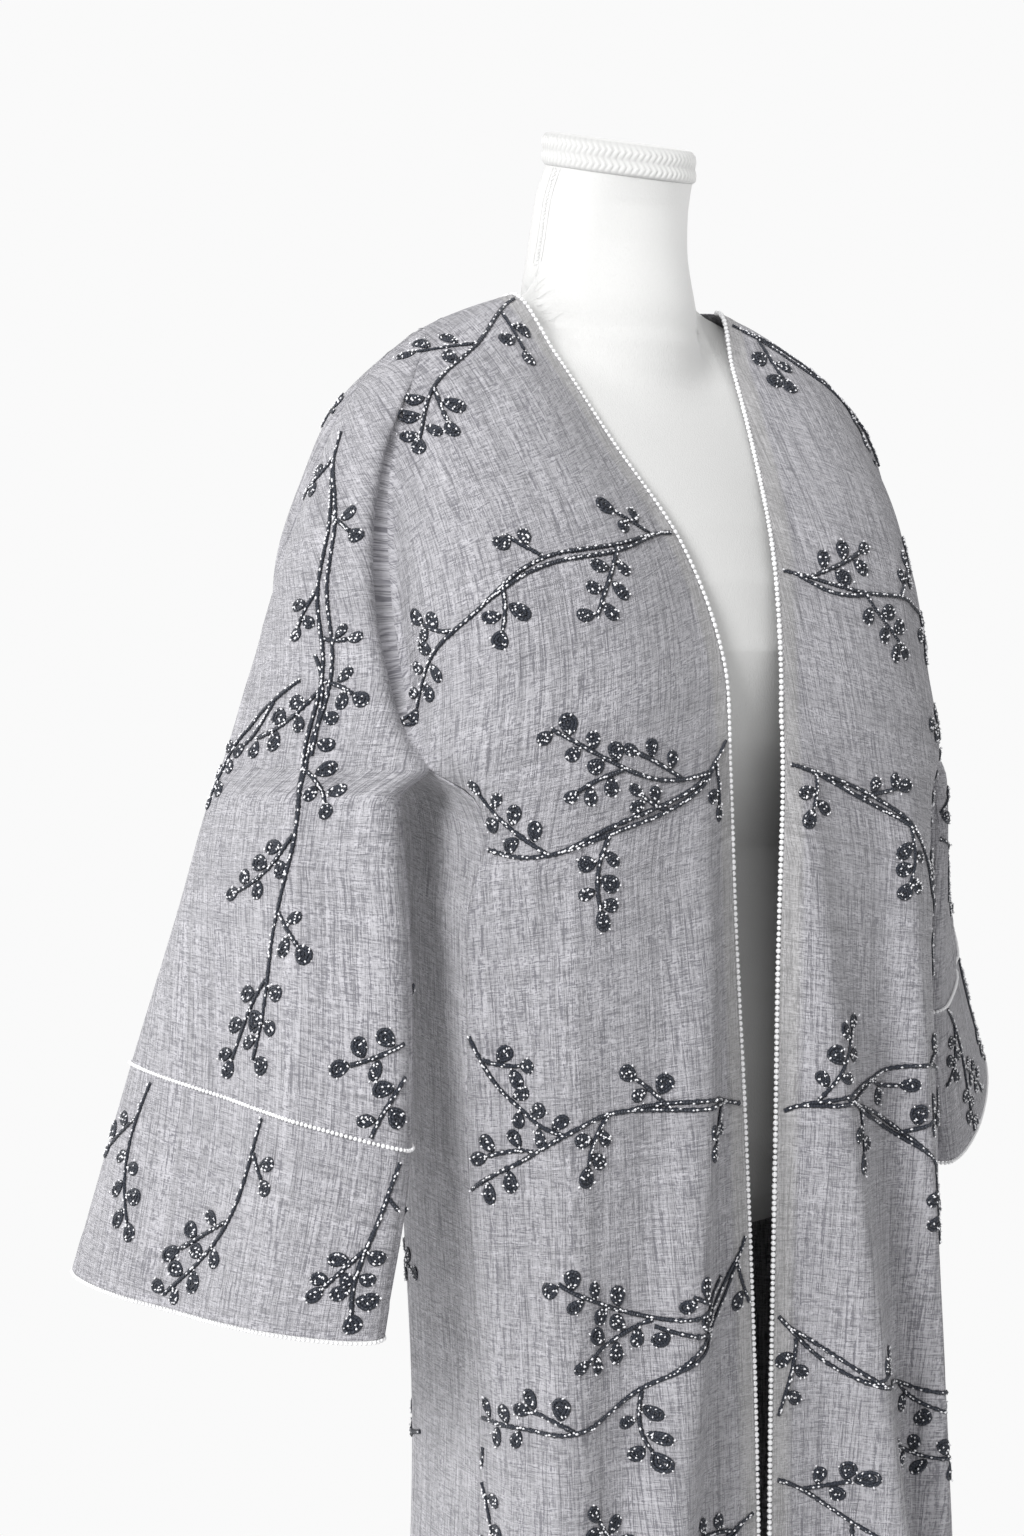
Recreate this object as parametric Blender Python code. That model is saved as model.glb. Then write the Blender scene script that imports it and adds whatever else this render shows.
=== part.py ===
# Open-front abaya with kimono sleeves, shown on a limbless dress form.
# Metres, +Z up, the front faces -Y and the wearer's right is -X. The floor is z = 0.
import math

import bmesh
import bpy
import numpy as np

CLOTH = 0.0021          # thickness of the cloth's wall
SEAM = 0.0003           # gap between two pieces that are sewn or that touch
BEAD = 0.0040           # diameter of the beads along the edges and the seams
BEAD_GAP = 0.0008       # room between a row of beads and the cloth that it lies over or under
SAME_POINT = 0.00002    # grid points nearer than this are one point of the cloth
HEM = 0.045             # height of the skirt's hem above the floor
UNDERARM = 0.375        # cloth from the shoulder line down to the underarm point
BAND_SEAM = 0.600       # cloth from the shoulder line down to the seam of the sleeve's band
CUFF = 0.745            # cloth from the shoulder line down to the hem of the sleeve
UNDERARM_GAP = (0.0, 0.006, 0.0)    # at the underarm point the back's cloth lies behind the front's

POLE_RADIUS = 0.0175
BASE_RADIUS = 0.150
BASE_HEIGHT = 0.022
TORSO_BOTTOM = 0.745
NECK_TOP = 1.561
NECK_TILT = 0.25        # slope of the neck's top towards the front
CAP_RADIUS = 0.0595
CAP_HEIGHT = 0.025

CLOTH_GREY = (0.33, 0.325, 0.35, 1.0)
BEAD_WHITE = (0.85, 0.85, 0.87, 1.0)
JERSEY_WHITE = (0.87, 0.87, 0.88, 1.0)
STAND_WHITE = (0.80, 0.80, 0.80, 1.0)


def table(columns, *rows):
    """A short table: each column's name and its values from the first row to the last."""
    return dict(zip(columns.split(), np.array(rows, float).T))


# The free edge of each front by its height, half of the opening's width and its place in depth.
EDGE = table("height x y",
             (1.460, 0.0990, 0.035), (1.440, 0.0925, 0.017), (1.400, 0.082, -0.016),
             (1.360, 0.0718, -0.046), (1.320, 0.0603, -0.073), (1.280, 0.048, -0.102),
             (1.240, 0.0355, -0.128), (1.200, 0.0290, -0.140), (1.160, 0.027, -0.144),
             (1.000, 0.0210, -0.148), (0.800, 0.0140, -0.156), (0.600, 0.0078, -0.160),
             (HEM, 0.0050, -0.168))

# The front from the shoulder line to the hem. Each row gives the cloth above it, its height at
# the edge, and where it passes the chest, the full part beside the arm, and the fold or side seam.
FRONT = table("down height chest_x chest_y full_x full_y seam_x seam_y bulge",
              (0.000, 1.460, 0.124, 0.037, 0.153, 0.039, 0.172, 0.040, 0.000),
              (0.060, 1.410, 0.128, -0.024, 0.178, -0.018, 0.205, -0.004, 0.010),
              (0.130, 1.345, 0.130, -0.078, 0.199, -0.051, 0.230, -0.012, 0.017),
              (0.215, 1.265, 0.122, -0.126, 0.216, -0.082, 0.243, -0.026, 0.024),
              (0.300, 1.180, 0.118, -0.152, 0.220, -0.104, 0.243, -0.046, 0.029),
              (0.375, 1.105, 0.117, -0.161, 0.206, -0.128, 0.234, -0.080, 0.032),
              (0.400, 1.083, 0.117, -0.162, 0.190, -0.137, 0.211, -0.100, 0.0),
              (0.485, 1.000, 0.115, -0.165, 0.182, -0.143, 0.213, -0.092, 0.0),
              (0.645, 0.840, 0.113, -0.169, 0.180, -0.149, 0.211, -0.090, 0.0),
              (0.885, 0.600, 0.114, -0.174, 0.178, -0.155, 0.200, -0.087, 0.0),
              (1.185, 0.300, 0.118, -0.182, 0.190, -0.162, 0.215, -0.088, 0.0),
              (1.440, HEM, 0.124, -0.190, 0.205, -0.170, 0.236, -0.090, 0.0))

# The back in the same rows: the column below the neck point, the shoulder blade, the side, the
# fold or side seam, half-way to the centre, and the centre.
BACK = table("down height neck_x neck_y blade_x blade_y side_x side_y seam_x seam_y bulge"
             " near_x near_y centre_y",
             (0.000, 1.460, 0.099, 0.035, 0.124, 0.037, 0.153, 0.039, 0.172, 0.040, 0.000,
              0.060, 0.103, 0.120),
             (0.060, 1.410, 0.094, 0.106, 0.130, 0.103, 0.178, 0.094, 0.206, 0.082, 0.008,
              0.048, 0.119, 0.122),
             (0.130, 1.345, 0.088, 0.128, 0.130, 0.126, 0.196, 0.117, 0.226, 0.101, 0.012,
              0.044, 0.131, 0.131),
             (0.215, 1.265, 0.082, 0.137, 0.128, 0.136, 0.198, 0.122, 0.236, 0.088, 0.020,
              0.041, 0.137, 0.136),
             (0.300, 1.180, 0.080, 0.137, 0.128, 0.134, 0.196, 0.108, 0.243, 0.026, 0.018,
              0.040, 0.137, 0.135),
             (0.375, 1.105, 0.080, 0.135, 0.127, 0.128, 0.200, 0.070, 0.234, -0.080, 0.022,
              0.040, 0.135, 0.134),
             (0.400, 1.083, 0.080, 0.134, 0.127, 0.125, 0.200, 0.045, 0.211, -0.100, 0.0,
              0.040, 0.135, 0.133),
             (0.485, 1.000, 0.080, 0.132, 0.128, 0.120, 0.203, 0.032, 0.213, -0.092, 0.0,
              0.040, 0.134, 0.133),
             (0.645, 0.840, 0.080, 0.130, 0.128, 0.116, 0.199, 0.028, 0.211, -0.090, 0.0,
              0.040, 0.132, 0.131),
             (0.885, 0.600, 0.080, 0.127, 0.128, 0.110, 0.193, 0.022, 0.200, -0.087, 0.0,
              0.040, 0.130, 0.130),
             (1.185, 0.300, 0.083, 0.134, 0.136, 0.117, 0.211, 0.026, 0.215, -0.088, 0.0,
              0.042, 0.137, 0.138),
             (1.440, HEM, 0.088, 0.147, 0.148, 0.127, 0.236, 0.030, 0.236, -0.090, 0.0,
              0.045, 0.151, 0.152))

# The outer ridge of each sleeve, where the shoulder seam runs on down the sleeve.
RIDGE = {
    "right": table("down x y z",
                   (0.000, 0.200, 0.042, 1.412), (0.060, 0.232, 0.050, 1.370),
                   (0.130, 0.253, 0.060, 1.312), (0.215, 0.273, 0.073, 1.242),
                   (0.300, 0.292, 0.083, 1.172), (0.375, 0.310, 0.092, 1.105),
                   (0.400, 0.318, 0.095, 1.082), (0.490, 0.338, 0.108, 0.998),
                   (0.600, 0.368, 0.128, 0.881), (0.745, 0.409, 0.145, 0.730)),
    "left": table("down x y z",
                  (0.000, 0.200, 0.042, 1.412), (0.060, 0.232, 0.051, 1.370),
                  (0.130, 0.247, 0.061, 1.312), (0.215, 0.258, 0.071, 1.242),
                  (0.300, 0.275, 0.080, 1.172), (0.375, 0.303, 0.088, 1.110),
                  (0.400, 0.315, 0.090, 1.092), (0.490, 0.347, 0.097, 1.038),
                  (0.600, 0.388, 0.105, 0.962), (0.745, 0.450, 0.118, 0.832)),
}

# The sleeve's tube below the underarm: its inner front end, where the underarm seam runs, and how
# far the tube swells outwards and inwards from the line between that end and the ridge. Lift is
# how much a row rises in the middle of the sleeve's outer face.
TUBE = {
    "right": table("down seam_x seam_y seam_z out inward lift",
                   (0.375, 0.250, -0.062, 1.105, 0.032, 0.023, 0.0),
                   (0.400, 0.253, -0.066, 1.086, 0.034, 0.026, 0.0),
                   (0.490, 0.256, -0.084, 0.985, 0.039, 0.034, 0.006),
                   (0.600, 0.271, -0.110, 0.845, 0.042, 0.036, 0.010),
                   (0.745, 0.304, -0.130, 0.724, 0.043, 0.040, 0.0)),
    "left": table("down seam_x seam_y seam_z out inward lift",
                  (0.375, 0.244, -0.060, 1.105, 0.022, 0.030, 0.0),
                  (0.400, 0.248, -0.062, 1.086, 0.020, 0.038, 0.0),
                  (0.490, 0.250, -0.060, 1.000, 0.022, 0.050, 0.0),
                  (0.600, 0.256, -0.052, 0.892, 0.024, 0.062, 0.0),
                  (0.745, 0.272, -0.050, 0.766, 0.026, 0.070, 0.0)),
}

# How the left side departs from the right: its cloth is drawn in above the underarm and its skirt
# stands wider.
SPREAD = {
    "right": table("down factor", (0.0, 1.0), (1.44, 1.0)),
    "left": table("down factor", (0.0, 1.0), (0.13, 0.98), (0.215, 0.935), (0.30, 0.915),
                  (0.375, 0.94), (0.485, 0.95), (0.645, 0.96), (0.885, 0.985), (1.44, 1.0)),
}

# Soft folds. Across is 0 at the front edge or below the neck point, 1 at the fold or side seam, 2
# at the sleeve's ridge, and -1 at the centre of the back. Depth is outwards where it is positive.
FOLDS = table("back side top_across low_across top low width depth",
              (0, -1, 0.10, 0.54, 0.34, 1.60, 0.08, 0.027),
              (0, -1, 0.52, 0.50, 0.42, 1.10, 0.13, -0.007),
              (0, -1, 0.78, 0.74, 0.70, 1.60, 0.11, 0.008),
              (0, -1, 0.48, 0.52, 1.00, 1.70, 0.12, 0.012),
              (0, 1, 0.03, 0.54, 0.34, 1.60, 0.08, 0.033),
              (0, 1, 0.29, 0.73, 0.34, 1.60, 0.10, -0.016),
              (0, 1, 0.48, 0.88, 0.38, 1.60, 0.07, 0.010),
              (0, -1, 0.72, 0.55, 0.12, 0.36, 0.16, 0.006),
              (0, 1, 0.62, 0.50, 0.12, 0.36, 0.16, 0.006),
              (0, -1, 1.00, 1.00, 0.06, 0.36, 0.09, -0.009),
              (0, 1, 1.00, 1.00, 0.06, 0.36, 0.09, -0.006),
              (1, -1, 0.30, 0.36, 0.40, 1.70, 0.13, 0.012),
              (1, -1, 0.62, 0.66, 0.50, 1.70, 0.13, -0.010),
              (1, 1, 0.22, 0.30, 0.35, 1.70, 0.13, 0.012),
              (1, 1, 0.56, 0.62, 0.50, 1.70, 0.13, -0.010),
              (1, -1, -0.45, -0.50, 0.45, 1.70, 0.30, 0.009),
              (1, 1, -0.40, -0.48, 0.45, 1.70, 0.30, 0.009))

# The dress form in rings from the bottom up: half its width, how far it reaches in front of and
# behind its middle, the place of that middle, and the neck's column, which joins the ring.
FORM = table("height half front back middle neck neck_y",
             (TORSO_BOTTOM, 0.140, 0.072, 0.078, 0.000, 0.0, 0.0),
             (0.752, 0.160, 0.090, 0.097, 0.000, 0.0, 0.0),
             (0.775, 0.172, 0.104, 0.108, 0.000, 0.0, 0.0),
             (0.820, 0.178, 0.113, 0.116, 0.000, 0.0, 0.0),
             (0.880, 0.177, 0.114, 0.117, 0.000, 0.0, 0.0),
             (0.960, 0.155, 0.104, 0.108, 0.000, 0.0, 0.0),
             (1.040, 0.132, 0.098, 0.095, 0.000, 0.0, 0.0),
             (1.120, 0.150, 0.125, 0.101, 0.003, 0.0, 0.0),
             (1.190, 0.168, 0.139, 0.106, 0.008, 0.0, 0.0),
             (1.240, 0.178, 0.135, 0.102, 0.016, 0.0, 0.0),
             (1.285, 0.186, 0.121, 0.094, 0.024, 0.0, 0.0),
             (1.325, 0.192, 0.103, 0.084, 0.032, 0.050, 0.040),
             (1.362, 0.195, 0.083, 0.074, 0.038, 0.060, 0.040),
             (1.390, 0.195, 0.063, 0.065, 0.040, 0.066, 0.041),
             (1.4075, 0.1925, 0.048, 0.055, 0.040, 0.069, 0.042),
             (1.4190, 0.182, 0.038, 0.045, 0.040, 0.070, 0.043),
             (1.4262, 0.172, 0.032, 0.039, 0.040, 0.070, 0.043),
             (1.4360, 0.148, 0.024, 0.029, 0.039, 0.069, 0.044),
             (1.4482, 0.113, 0.013, 0.016, 0.039, 0.0695, 0.045),
             (1.4566, 0.091, 0.006, 0.010, 0.040, 0.0695, 0.046),
             (1.466, 0.077, 0.006, 0.010, 0.042, 0.0685, 0.047),
             (1.480, 0.069, 0.006, 0.010, 0.045, 0.0665, 0.0485),
             (1.505, 0.0635, 0.006, 0.010, 0.0455, 0.0625, 0.0466),
             (1.540, 0.060, 0.006, 0.010, 0.0415, 0.060, 0.0415),
             (NECK_TOP, 0.0573, 0.006, 0.010, 0.031, 0.0573, 0.031))


def smooth(at, knots, values):
    """A cubic curve through the values, with each knot's slope drawn between its two neighbours."""
    knots = np.asarray(knots, float)
    values = np.asarray(values, float)
    step = np.diff(knots)
    rise = np.diff(values, axis=0) / step.reshape(-1, *[1] * (values.ndim - 1))
    slope = np.concatenate([rise[:1], (rise[1:] + rise[:-1]) / 2.0, rise[-1:]])
    at = np.clip(np.asarray(at, float), knots[0], knots[-1])
    i = np.clip(np.searchsorted(knots, at, side="right") - 1, 0, len(step) - 1)
    shape = at.shape + (1,) * (values.ndim - 1)
    t = ((at - knots[i]) / step[i]).reshape(shape)
    width = step[i].reshape(shape)
    return (values[i] * (1 + 2 * t) * (1 - t) ** 2 + values[i + 1] * t ** 2 * (3 - 2 * t)
            + slope[i] * width * t * (1 - t) ** 2 - slope[i + 1] * width * t ** 2 * (1 - t))


ACROSS = {"front": np.array([0.0, 0.355, 0.76, 1.0]),
          "back": np.array([-1.5, -1.0, -0.5, 0.0, 0.355, 0.76, 1.0])}
SLOPE = np.array([0.0, 0.17, 0.42, 0.62])       # how far each has dropped towards the ridge
BODY_STEPS = 10
ARC_STEPS = 6
CENTRE_STEPS = 4
NAPE_RISE = 0.006       # how much the neckline rises from the neck point to the centre back


def stations(panel, side):
    """The body stations of every row of a front or a back, from the edge or centre to the seam."""
    rows = FRONT if panel == "front" else BACK
    names = ("chest", "full", "seam") if panel == "front" else ("neck", "blade", "side", "seam")
    points = [np.stack([rows[n + "_x"], rows[n + "_y"]], 1) for n in names]
    if panel == "front":
        edge = smooth(rows["height"][::-1], EDGE["height"][::-1],
                      np.stack([EDGE["x"], EDGE["y"]], 1)[::-1])[::-1]
        points.insert(0, edge)
    points = np.stack(points, 1)
    spread = smooth(rows["down"], SPREAD[side]["down"], SPREAD[side]["factor"])
    points[:, 1:, 0] *= spread[:, None]
    ridge = RIDGE[side]
    high = smooth(rows["down"], ridge["down"], ridge["z"])
    drop = np.where(rows["down"] <= UNDERARM, high - rows["height"], 0.0)
    z = rows["height"][:, None] + drop[:, None] * SLOPE[None, :]
    return np.concatenate([points, z[:, :, None]], 2)


def nape_stations():
    """The back's stations between its centre and the neck column, with one mirrored behind."""
    rise = np.where(BACK["down"] == 0.0, NAPE_RISE, 0.0)
    near = np.stack([BACK["near_x"], BACK["near_y"], BACK["height"] + rise * 0.7], 1)
    centre = np.stack([0 * rise, BACK["centre_y"], BACK["height"] + rise], 1)
    return np.stack([near * (-1.0, 1.0, 1.0), centre, near], 1)


def body_row(four, nape=None):
    """A row's points from its first station to its seam, on a smooth curve through the stations."""
    out = np.linspace(0, 1, BODY_STEPS + 1)
    if nape is None:
        return smooth(out, ACROSS["front"], four)
    out = np.concatenate([np.linspace(-1, 0, CENTRE_STEPS + 1)[:-1], out])
    return smooth(out, ACROSS["back"], np.concatenate([nape, four]))


def neckline_row(four, nape):
    """The back's top row, which turns a corner at the neck point: a shoulder line and a neckline."""
    out = np.linspace(-1, 0, CENTRE_STEPS + 1)
    neckline = smooth(out, ACROSS["back"][:4], np.concatenate([nape, four[:1]]))
    return np.concatenate([neckline[:-1], body_row(four)])


def arc_row(start, end, swell, sign, lift=0.0):
    """Half a flattened tube from start to end, swollen sideways and lifted by the given amounts."""
    t = np.linspace(0, 1, ARC_STEPS + 1)[:, None]
    chord = end - start
    normal = np.array([chord[1], -chord[0], 0.0])
    normal /= np.linalg.norm(normal) + 1e-9
    swelling = sign * normal * swell + np.array([0.0, 0.0, lift])
    return start + chord * (1 - np.cos(math.pi * t)) / 2 + swelling * np.sin(math.pi * t)


def over_shoulder(own, other):
    """A column's values for one panel, carried on over the shoulder into the other panel's."""
    above = (FRONT["down"] > 0) & (FRONT["down"] <= UNDERARM)
    return np.concatenate([other[above][::-1], own])


def sleeve_starts(panel, side):
    """The line where the sleeve's arc begins, first along the fold and then along the underarm
    seam, with its swelling and lift: values by the cloth above, smooth past the underarm."""
    rows = TUBE[side]
    above = FRONT["down"] < UNDERARM
    start = np.concatenate([stations(panel, side)[above, -1],
                            np.stack([rows["seam_" + k] for k in "xyz"], 1)])
    bulge = (FRONT if panel == "front" else BACK)["bulge"][above]
    swell = np.concatenate([bulge, rows["out" if panel == "front" else "inward"]])
    lift = np.concatenate([0 * bulge, rows["lift"] * (panel == "front")])
    return np.concatenate([FRONT["down"][above], rows["down"]]), np.column_stack([start, swell, lift])


def arcs(panel, side, downs, roots=None):
    """The sleeve's half rows up to the ridge. A root that lies off the smooth start line, as at the
    underarm point, draws only the cloth beside it."""
    own_knots, own = sleeve_starts(panel, side)
    other_knots, other = sleeve_starts("back" if panel == "front" else "front", side)
    turn = np.array([1.0, 1.0, 1.0, -1.0, 1.0])
    knots = np.concatenate([-other_knots[:0:-1], own_knots])
    values = np.concatenate([other[:0:-1] * turn, own])
    ridge = np.stack([RIDGE[side][k] for k in "xyz"], 1)
    sign = 1.0 if panel == "front" else -1.0
    near = (1 - np.linspace(0, 1, ARC_STEPS + 1)[:, None]) ** 4
    rows = []
    for i, d in enumerate(downs):
        value = smooth(d, knots, values)
        start = value[:3]
        row = arc_row(start, smooth(d, RIDGE[side]["down"], ridge), value[3], sign, value[4])
        if roots is not None:
            row = row + (roots[i] - start) * near
        rows.append(row)
    return np.array(rows)


def body_rows(panel, side, downs):
    """Rows of the body, smooth over the shoulder from front to back, with their arcs above the
    underarm. A front row runs from its edge and a back row from the centre."""
    own, other = stations(panel, side), stations("back" if panel == "front" else "front", side)
    down = FRONT["down"]
    knots = over_shoulder(down, -down)
    body = over_shoulder(own, other)
    nape = nape_stations()
    grid = []
    for d in downs:
        four = smooth(d, knots, body)
        if panel == "back" and d == UNDERARM:
            four[-1] += UNDERARM_GAP
        if panel == "front":
            row = body_row(four)
        elif d == 0.0:
            row = neckline_row(four, smooth(d, down, nape))
        else:
            row = body_row(four, smooth(d, down, nape))
        grid.append(row)
    grid = np.array(grid)
    if downs[0] == 0.0:
        grid = np.concatenate([grid, arcs(panel, side, downs, grid[:, -1])[:, 1:]], 1)
    return grid


def tube(panel, side, downs):
    """Half of the sleeve's tube below the underarm, from the underarm seam to the ridge."""
    roots = None
    if downs[0] == UNDERARM:
        grid = arcs(panel, side, downs)
        roots = grid[:, 0].copy()
        roots[0] = stations(panel, side)[list(FRONT["down"]).index(UNDERARM), -1]
        if panel == "back":
            roots[0] += UNDERARM_GAP
    return arcs(panel, side, downs, roots)


YOKE_DOWNS = np.array([0.0, 0.015, 0.035, 0.06, 0.095, 0.13, 0.17, 0.215, 0.257, 0.30, 0.34, 0.375])
SKIRT_DOWNS = np.array([0.375, 0.40, 0.44, 0.485, 0.56, 0.645, 0.76, 0.885, 1.035, 1.185, 1.31, 1.44])
TUBE_DOWNS = np.array([0.375, 0.40, 0.44, 0.49, 0.545, 0.60])
BAND_DOWNS = np.array([0.60, 0.648, 0.697, 0.745])


class Cloth:
    """The garment's surface as one net of shared points, with the faces of each piece kept apart."""

    def __init__(self):
        self.points = []
        self.place = []
        self.index = {}
        self.faces = {}

    def add(self, piece, grid, across, downs, flip, side, back):
        """Adds a grid of points; points that lie on one another become the same point."""
        rows, columns = grid.shape[:2]
        ids = np.zeros((rows, columns), int)
        for r in range(rows):
            for c in range(columns):
                x, y, z = grid[r, c]
                point = (side * x, y, z)
                key = tuple(round(v / SAME_POINT) for v in point)
                if key not in self.index:
                    self.index[key] = len(self.points)
                    self.points.append(point)
                    self.place.append((back, side, across[c], downs[r]))
                ids[r, c] = self.index[key]
        faces = self.faces.setdefault(piece, [])
        for r in range(rows - 1):
            for c in range(columns - 1):
                quad = [ids[r, c], ids[r + 1, c], ids[r + 1, c + 1], ids[r, c + 1]]
                if len(set(quad)) < 3:
                    continue
                quad = list(dict.fromkeys(int(i) for i in quad))
                faces.append(quad[::-1] if flip else quad)
        return ids


def face_normals(points, faces):
    """Area-weighted normal of each face, from its two diagonals or its two edges."""
    normals = []
    for face in faces:
        a, b, c = points[face[0]], points[face[1]], points[face[2]]
        d = points[face[3]] if len(face) > 3 else a
        normals.append(np.cross(c - a, d - b) if len(face) > 3 else np.cross(b - a, c - a))
    return np.array(normals)


def point_normals(points, faces):
    """Average normal at each point and how much each must be lengthened to keep the wall even."""
    flat = face_normals(points, faces)
    total = np.zeros_like(points)
    for face, normal in zip(faces, flat):
        for i in face:
            total[i] += normal
    unit = total / (np.linalg.norm(total, axis=1, keepdims=True) + 1e-12)
    lean = np.zeros(len(points))
    count = np.zeros(len(points))
    flat = flat / (np.linalg.norm(flat, axis=1, keepdims=True) + 1e-12)
    for face, normal in zip(faces, flat):
        for i in face:
            lean[i] += unit[i] @ normal
            count[i] += 1
    return unit, 1.0 / np.clip(lean / np.maximum(count, 1), 0.75, 1.0)


def fold_height(place):
    """Sum of the soft folds at a point: a bell across each fold that swells and dies along it."""
    back, side, across, down = place.T
    total = np.zeros(len(place))
    for i in range(len(FOLDS["back"])):
        fold = {k: v[i] for k, v in FOLDS.items()}
        along = (down - fold["top"]) / (fold["low"] - fold["top"])
        middle = fold["top_across"] + (fold["low_across"] - fold["top_across"]) * along
        bell = np.exp(-((across - middle) / fold["width"]) ** 2)
        rise = np.sin(math.pi * np.clip(along, 0, 1)) ** 0.7
        here = (back == fold["back"]) & (side == fold["side"])
        total += here * fold["depth"] * bell * rise
    return total


def build_cloth():
    """All panels of the abaya in one net, then its folds pushed in or out."""
    cloth = Cloth()
    body = np.linspace(0, 1, BODY_STEPS + 1)
    arc = 1 + np.linspace(0, 1, ARC_STEPS + 1)
    nape = np.linspace(-1, 0, CENTRE_STEPS + 1)[:-1]
    for side, sign in (("right", -1), ("left", 1)):
        for panel in ("front", "back"):
            back = int(panel == "back")
            piece = "back" if back else "front_" + side
            flip = (sign < 0) != bool(back)
            start = nape if back else body[:0]
            below = np.concatenate([start, body])
            wide = np.concatenate([below, arc[1:]])
            cloth.add(piece, body_rows(panel, side, YOKE_DOWNS), wide, YOKE_DOWNS, flip, sign, back)
            cloth.add(piece, body_rows(panel, side, SKIRT_DOWNS), below, SKIRT_DOWNS, flip, sign, back)
            cloth.add(piece, tube(panel, side, TUBE_DOWNS), arc, TUBE_DOWNS, flip, sign, back)
            cloth.add("sleeve_band_" + side, tube(panel, side, BAND_DOWNS), arc, BAND_DOWNS,
                      flip, sign, back)
    points = np.array(cloth.points)
    faces = [face for piece in cloth.faces.values() for face in piece]
    unit, _ = point_normals(points, faces)
    points = points + unit * fold_height(np.array(cloth.place))[:, None]
    unit, even = point_normals(points, faces)
    return cloth, points, unit, even


def boundary(faces):
    """Edges that only one face of a piece uses, each in that face's direction."""
    seen = {}
    for face in faces:
        for a, b in zip(face, face[1:] + face[:1]):
            seen[(a, b)] = seen.get((a, b), 0) + 1
    return [edge for edge in seen if (edge[1], edge[0]) not in seen]


def panel_points(points, unit, faces, others):
    """The piece's own points, drawn back sideways from every seam that it shares with another."""
    edges = boundary(faces)
    shared = {i for edge in edges for i in edge} & others
    neighbours = {}
    for face in faces:
        for i in face:
            neighbours.setdefault(i, set()).update(face)
    rim = {}
    for a, b in edges:
        rim.setdefault(a, set()).add(b)
        rim.setdefault(b, set()).add(a)
    own = {i: points[i].copy() for face in faces for i in face}
    for i in shared:
        inside = [j for j in neighbours[i] if j not in rim]
        if not inside:
            inside = [j for j in neighbours[i] if j not in rim.get(i, ()) and j != i]
        pull = np.mean([points[j] for j in inside], axis=0) - points[i]
        ends = [points[j] for j in rim[i]]
        line = ends[0] - ends[-1] if len(ends) > 1 else ends[0] - points[i]
        aside = np.cross(line, unit[i])
        aside /= np.linalg.norm(aside) + 1e-12
        own[i] = points[i] + aside * math.copysign(SEAM * 0.55, pull @ aside)
    return own


def material(name, colour, roughness, metallic=0.0):
    made = bpy.data.materials.new(name)
    made.use_nodes = True
    shader = made.node_tree.nodes["Principled BSDF"]
    shader.inputs["Base Color"].default_value = colour
    shader.inputs["Roughness"].default_value = roughness
    shader.inputs["Metallic"].default_value = metallic
    made.diffuse_color = colour
    return made


def make_object(name, verts, faces, finish):
    """A smooth-shaded closed body with its faces turned outwards."""
    mesh = bpy.data.meshes.new(name)
    mesh.from_pydata([tuple(v) for v in verts], [], [tuple(f) for f in faces])
    work = bmesh.new()
    work.from_mesh(mesh)
    bmesh.ops.triangulate(work, faces=work.faces[:])
    bmesh.ops.recalc_face_normals(work, faces=work.faces[:])
    work.to_mesh(mesh)
    work.free()
    mesh.shade_smooth()
    mesh.set_sharp_from_angle(angle=math.radians(40))
    mesh.materials.append(finish)
    thing = bpy.data.objects.new(name, mesh)
    bpy.context.scene.collection.objects.link(thing)
    return thing


def make_wall(name, faces, own, unit, even, finish):
    """Turns a piece's net into a wall: the net outside, its copy inside, and a rim between."""
    order = {i: n for n, i in enumerate(own)}
    outer = [own[i] for i in own]
    inner = [own[i] - unit[i] * CLOTH * even[i] for i in own]
    shift = len(outer)
    shell = [[order[i] for i in face] for face in faces]
    back = [[order[i] + shift for i in face[::-1]] for face in faces]
    rim = [[order[b], order[a], order[a] + shift, order[b] + shift] for a, b in boundary(faces)]
    return make_object(name, outer + inner, shell + back + rim, finish)


def make_rope(name, path, radius, sides, closed, finish):
    """A round cord of even width along a path, closed into a ring or with flat ends."""
    path = np.asarray(path, float)
    if closed:
        ahead, behind = np.roll(path, -1, 0), np.roll(path, 1, 0)
    else:
        ahead = np.concatenate([path[1:], path[-1:]])
        behind = np.concatenate([path[:1], path[:-1]])
    along = ahead - behind
    along /= np.linalg.norm(along, axis=1, keepdims=True)
    up = np.array([0.0, 0.0, 1.0]) if abs(along[:, 2]).mean() < 0.7 else np.array([0.0, 1.0, 0.0])
    first = np.cross(along, up)
    first /= np.linalg.norm(first, axis=1, keepdims=True)
    second = np.cross(along, first)
    turn = np.linspace(0, 2 * math.pi, sides, endpoint=False)
    ring = (path[:, None] + radius * (first[:, None] * np.cos(turn)[None, :, None]
                                      + second[:, None] * np.sin(turn)[None, :, None]))
    verts = ring.reshape(-1, 3)
    count = len(path)
    faces = []
    for i in range(count if closed else count - 1):
        j = (i + 1) % count
        for k in range(sides):
            m = (k + 1) % sides
            faces.append([i * sides + k, i * sides + m, j * sides + m, j * sides + k])
    if not closed:
        faces.append(list(range(sides)))
        faces.append([(count - 1) * sides + k for k in reversed(range(sides))])
    return make_object(name, verts, faces, finish)


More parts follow.
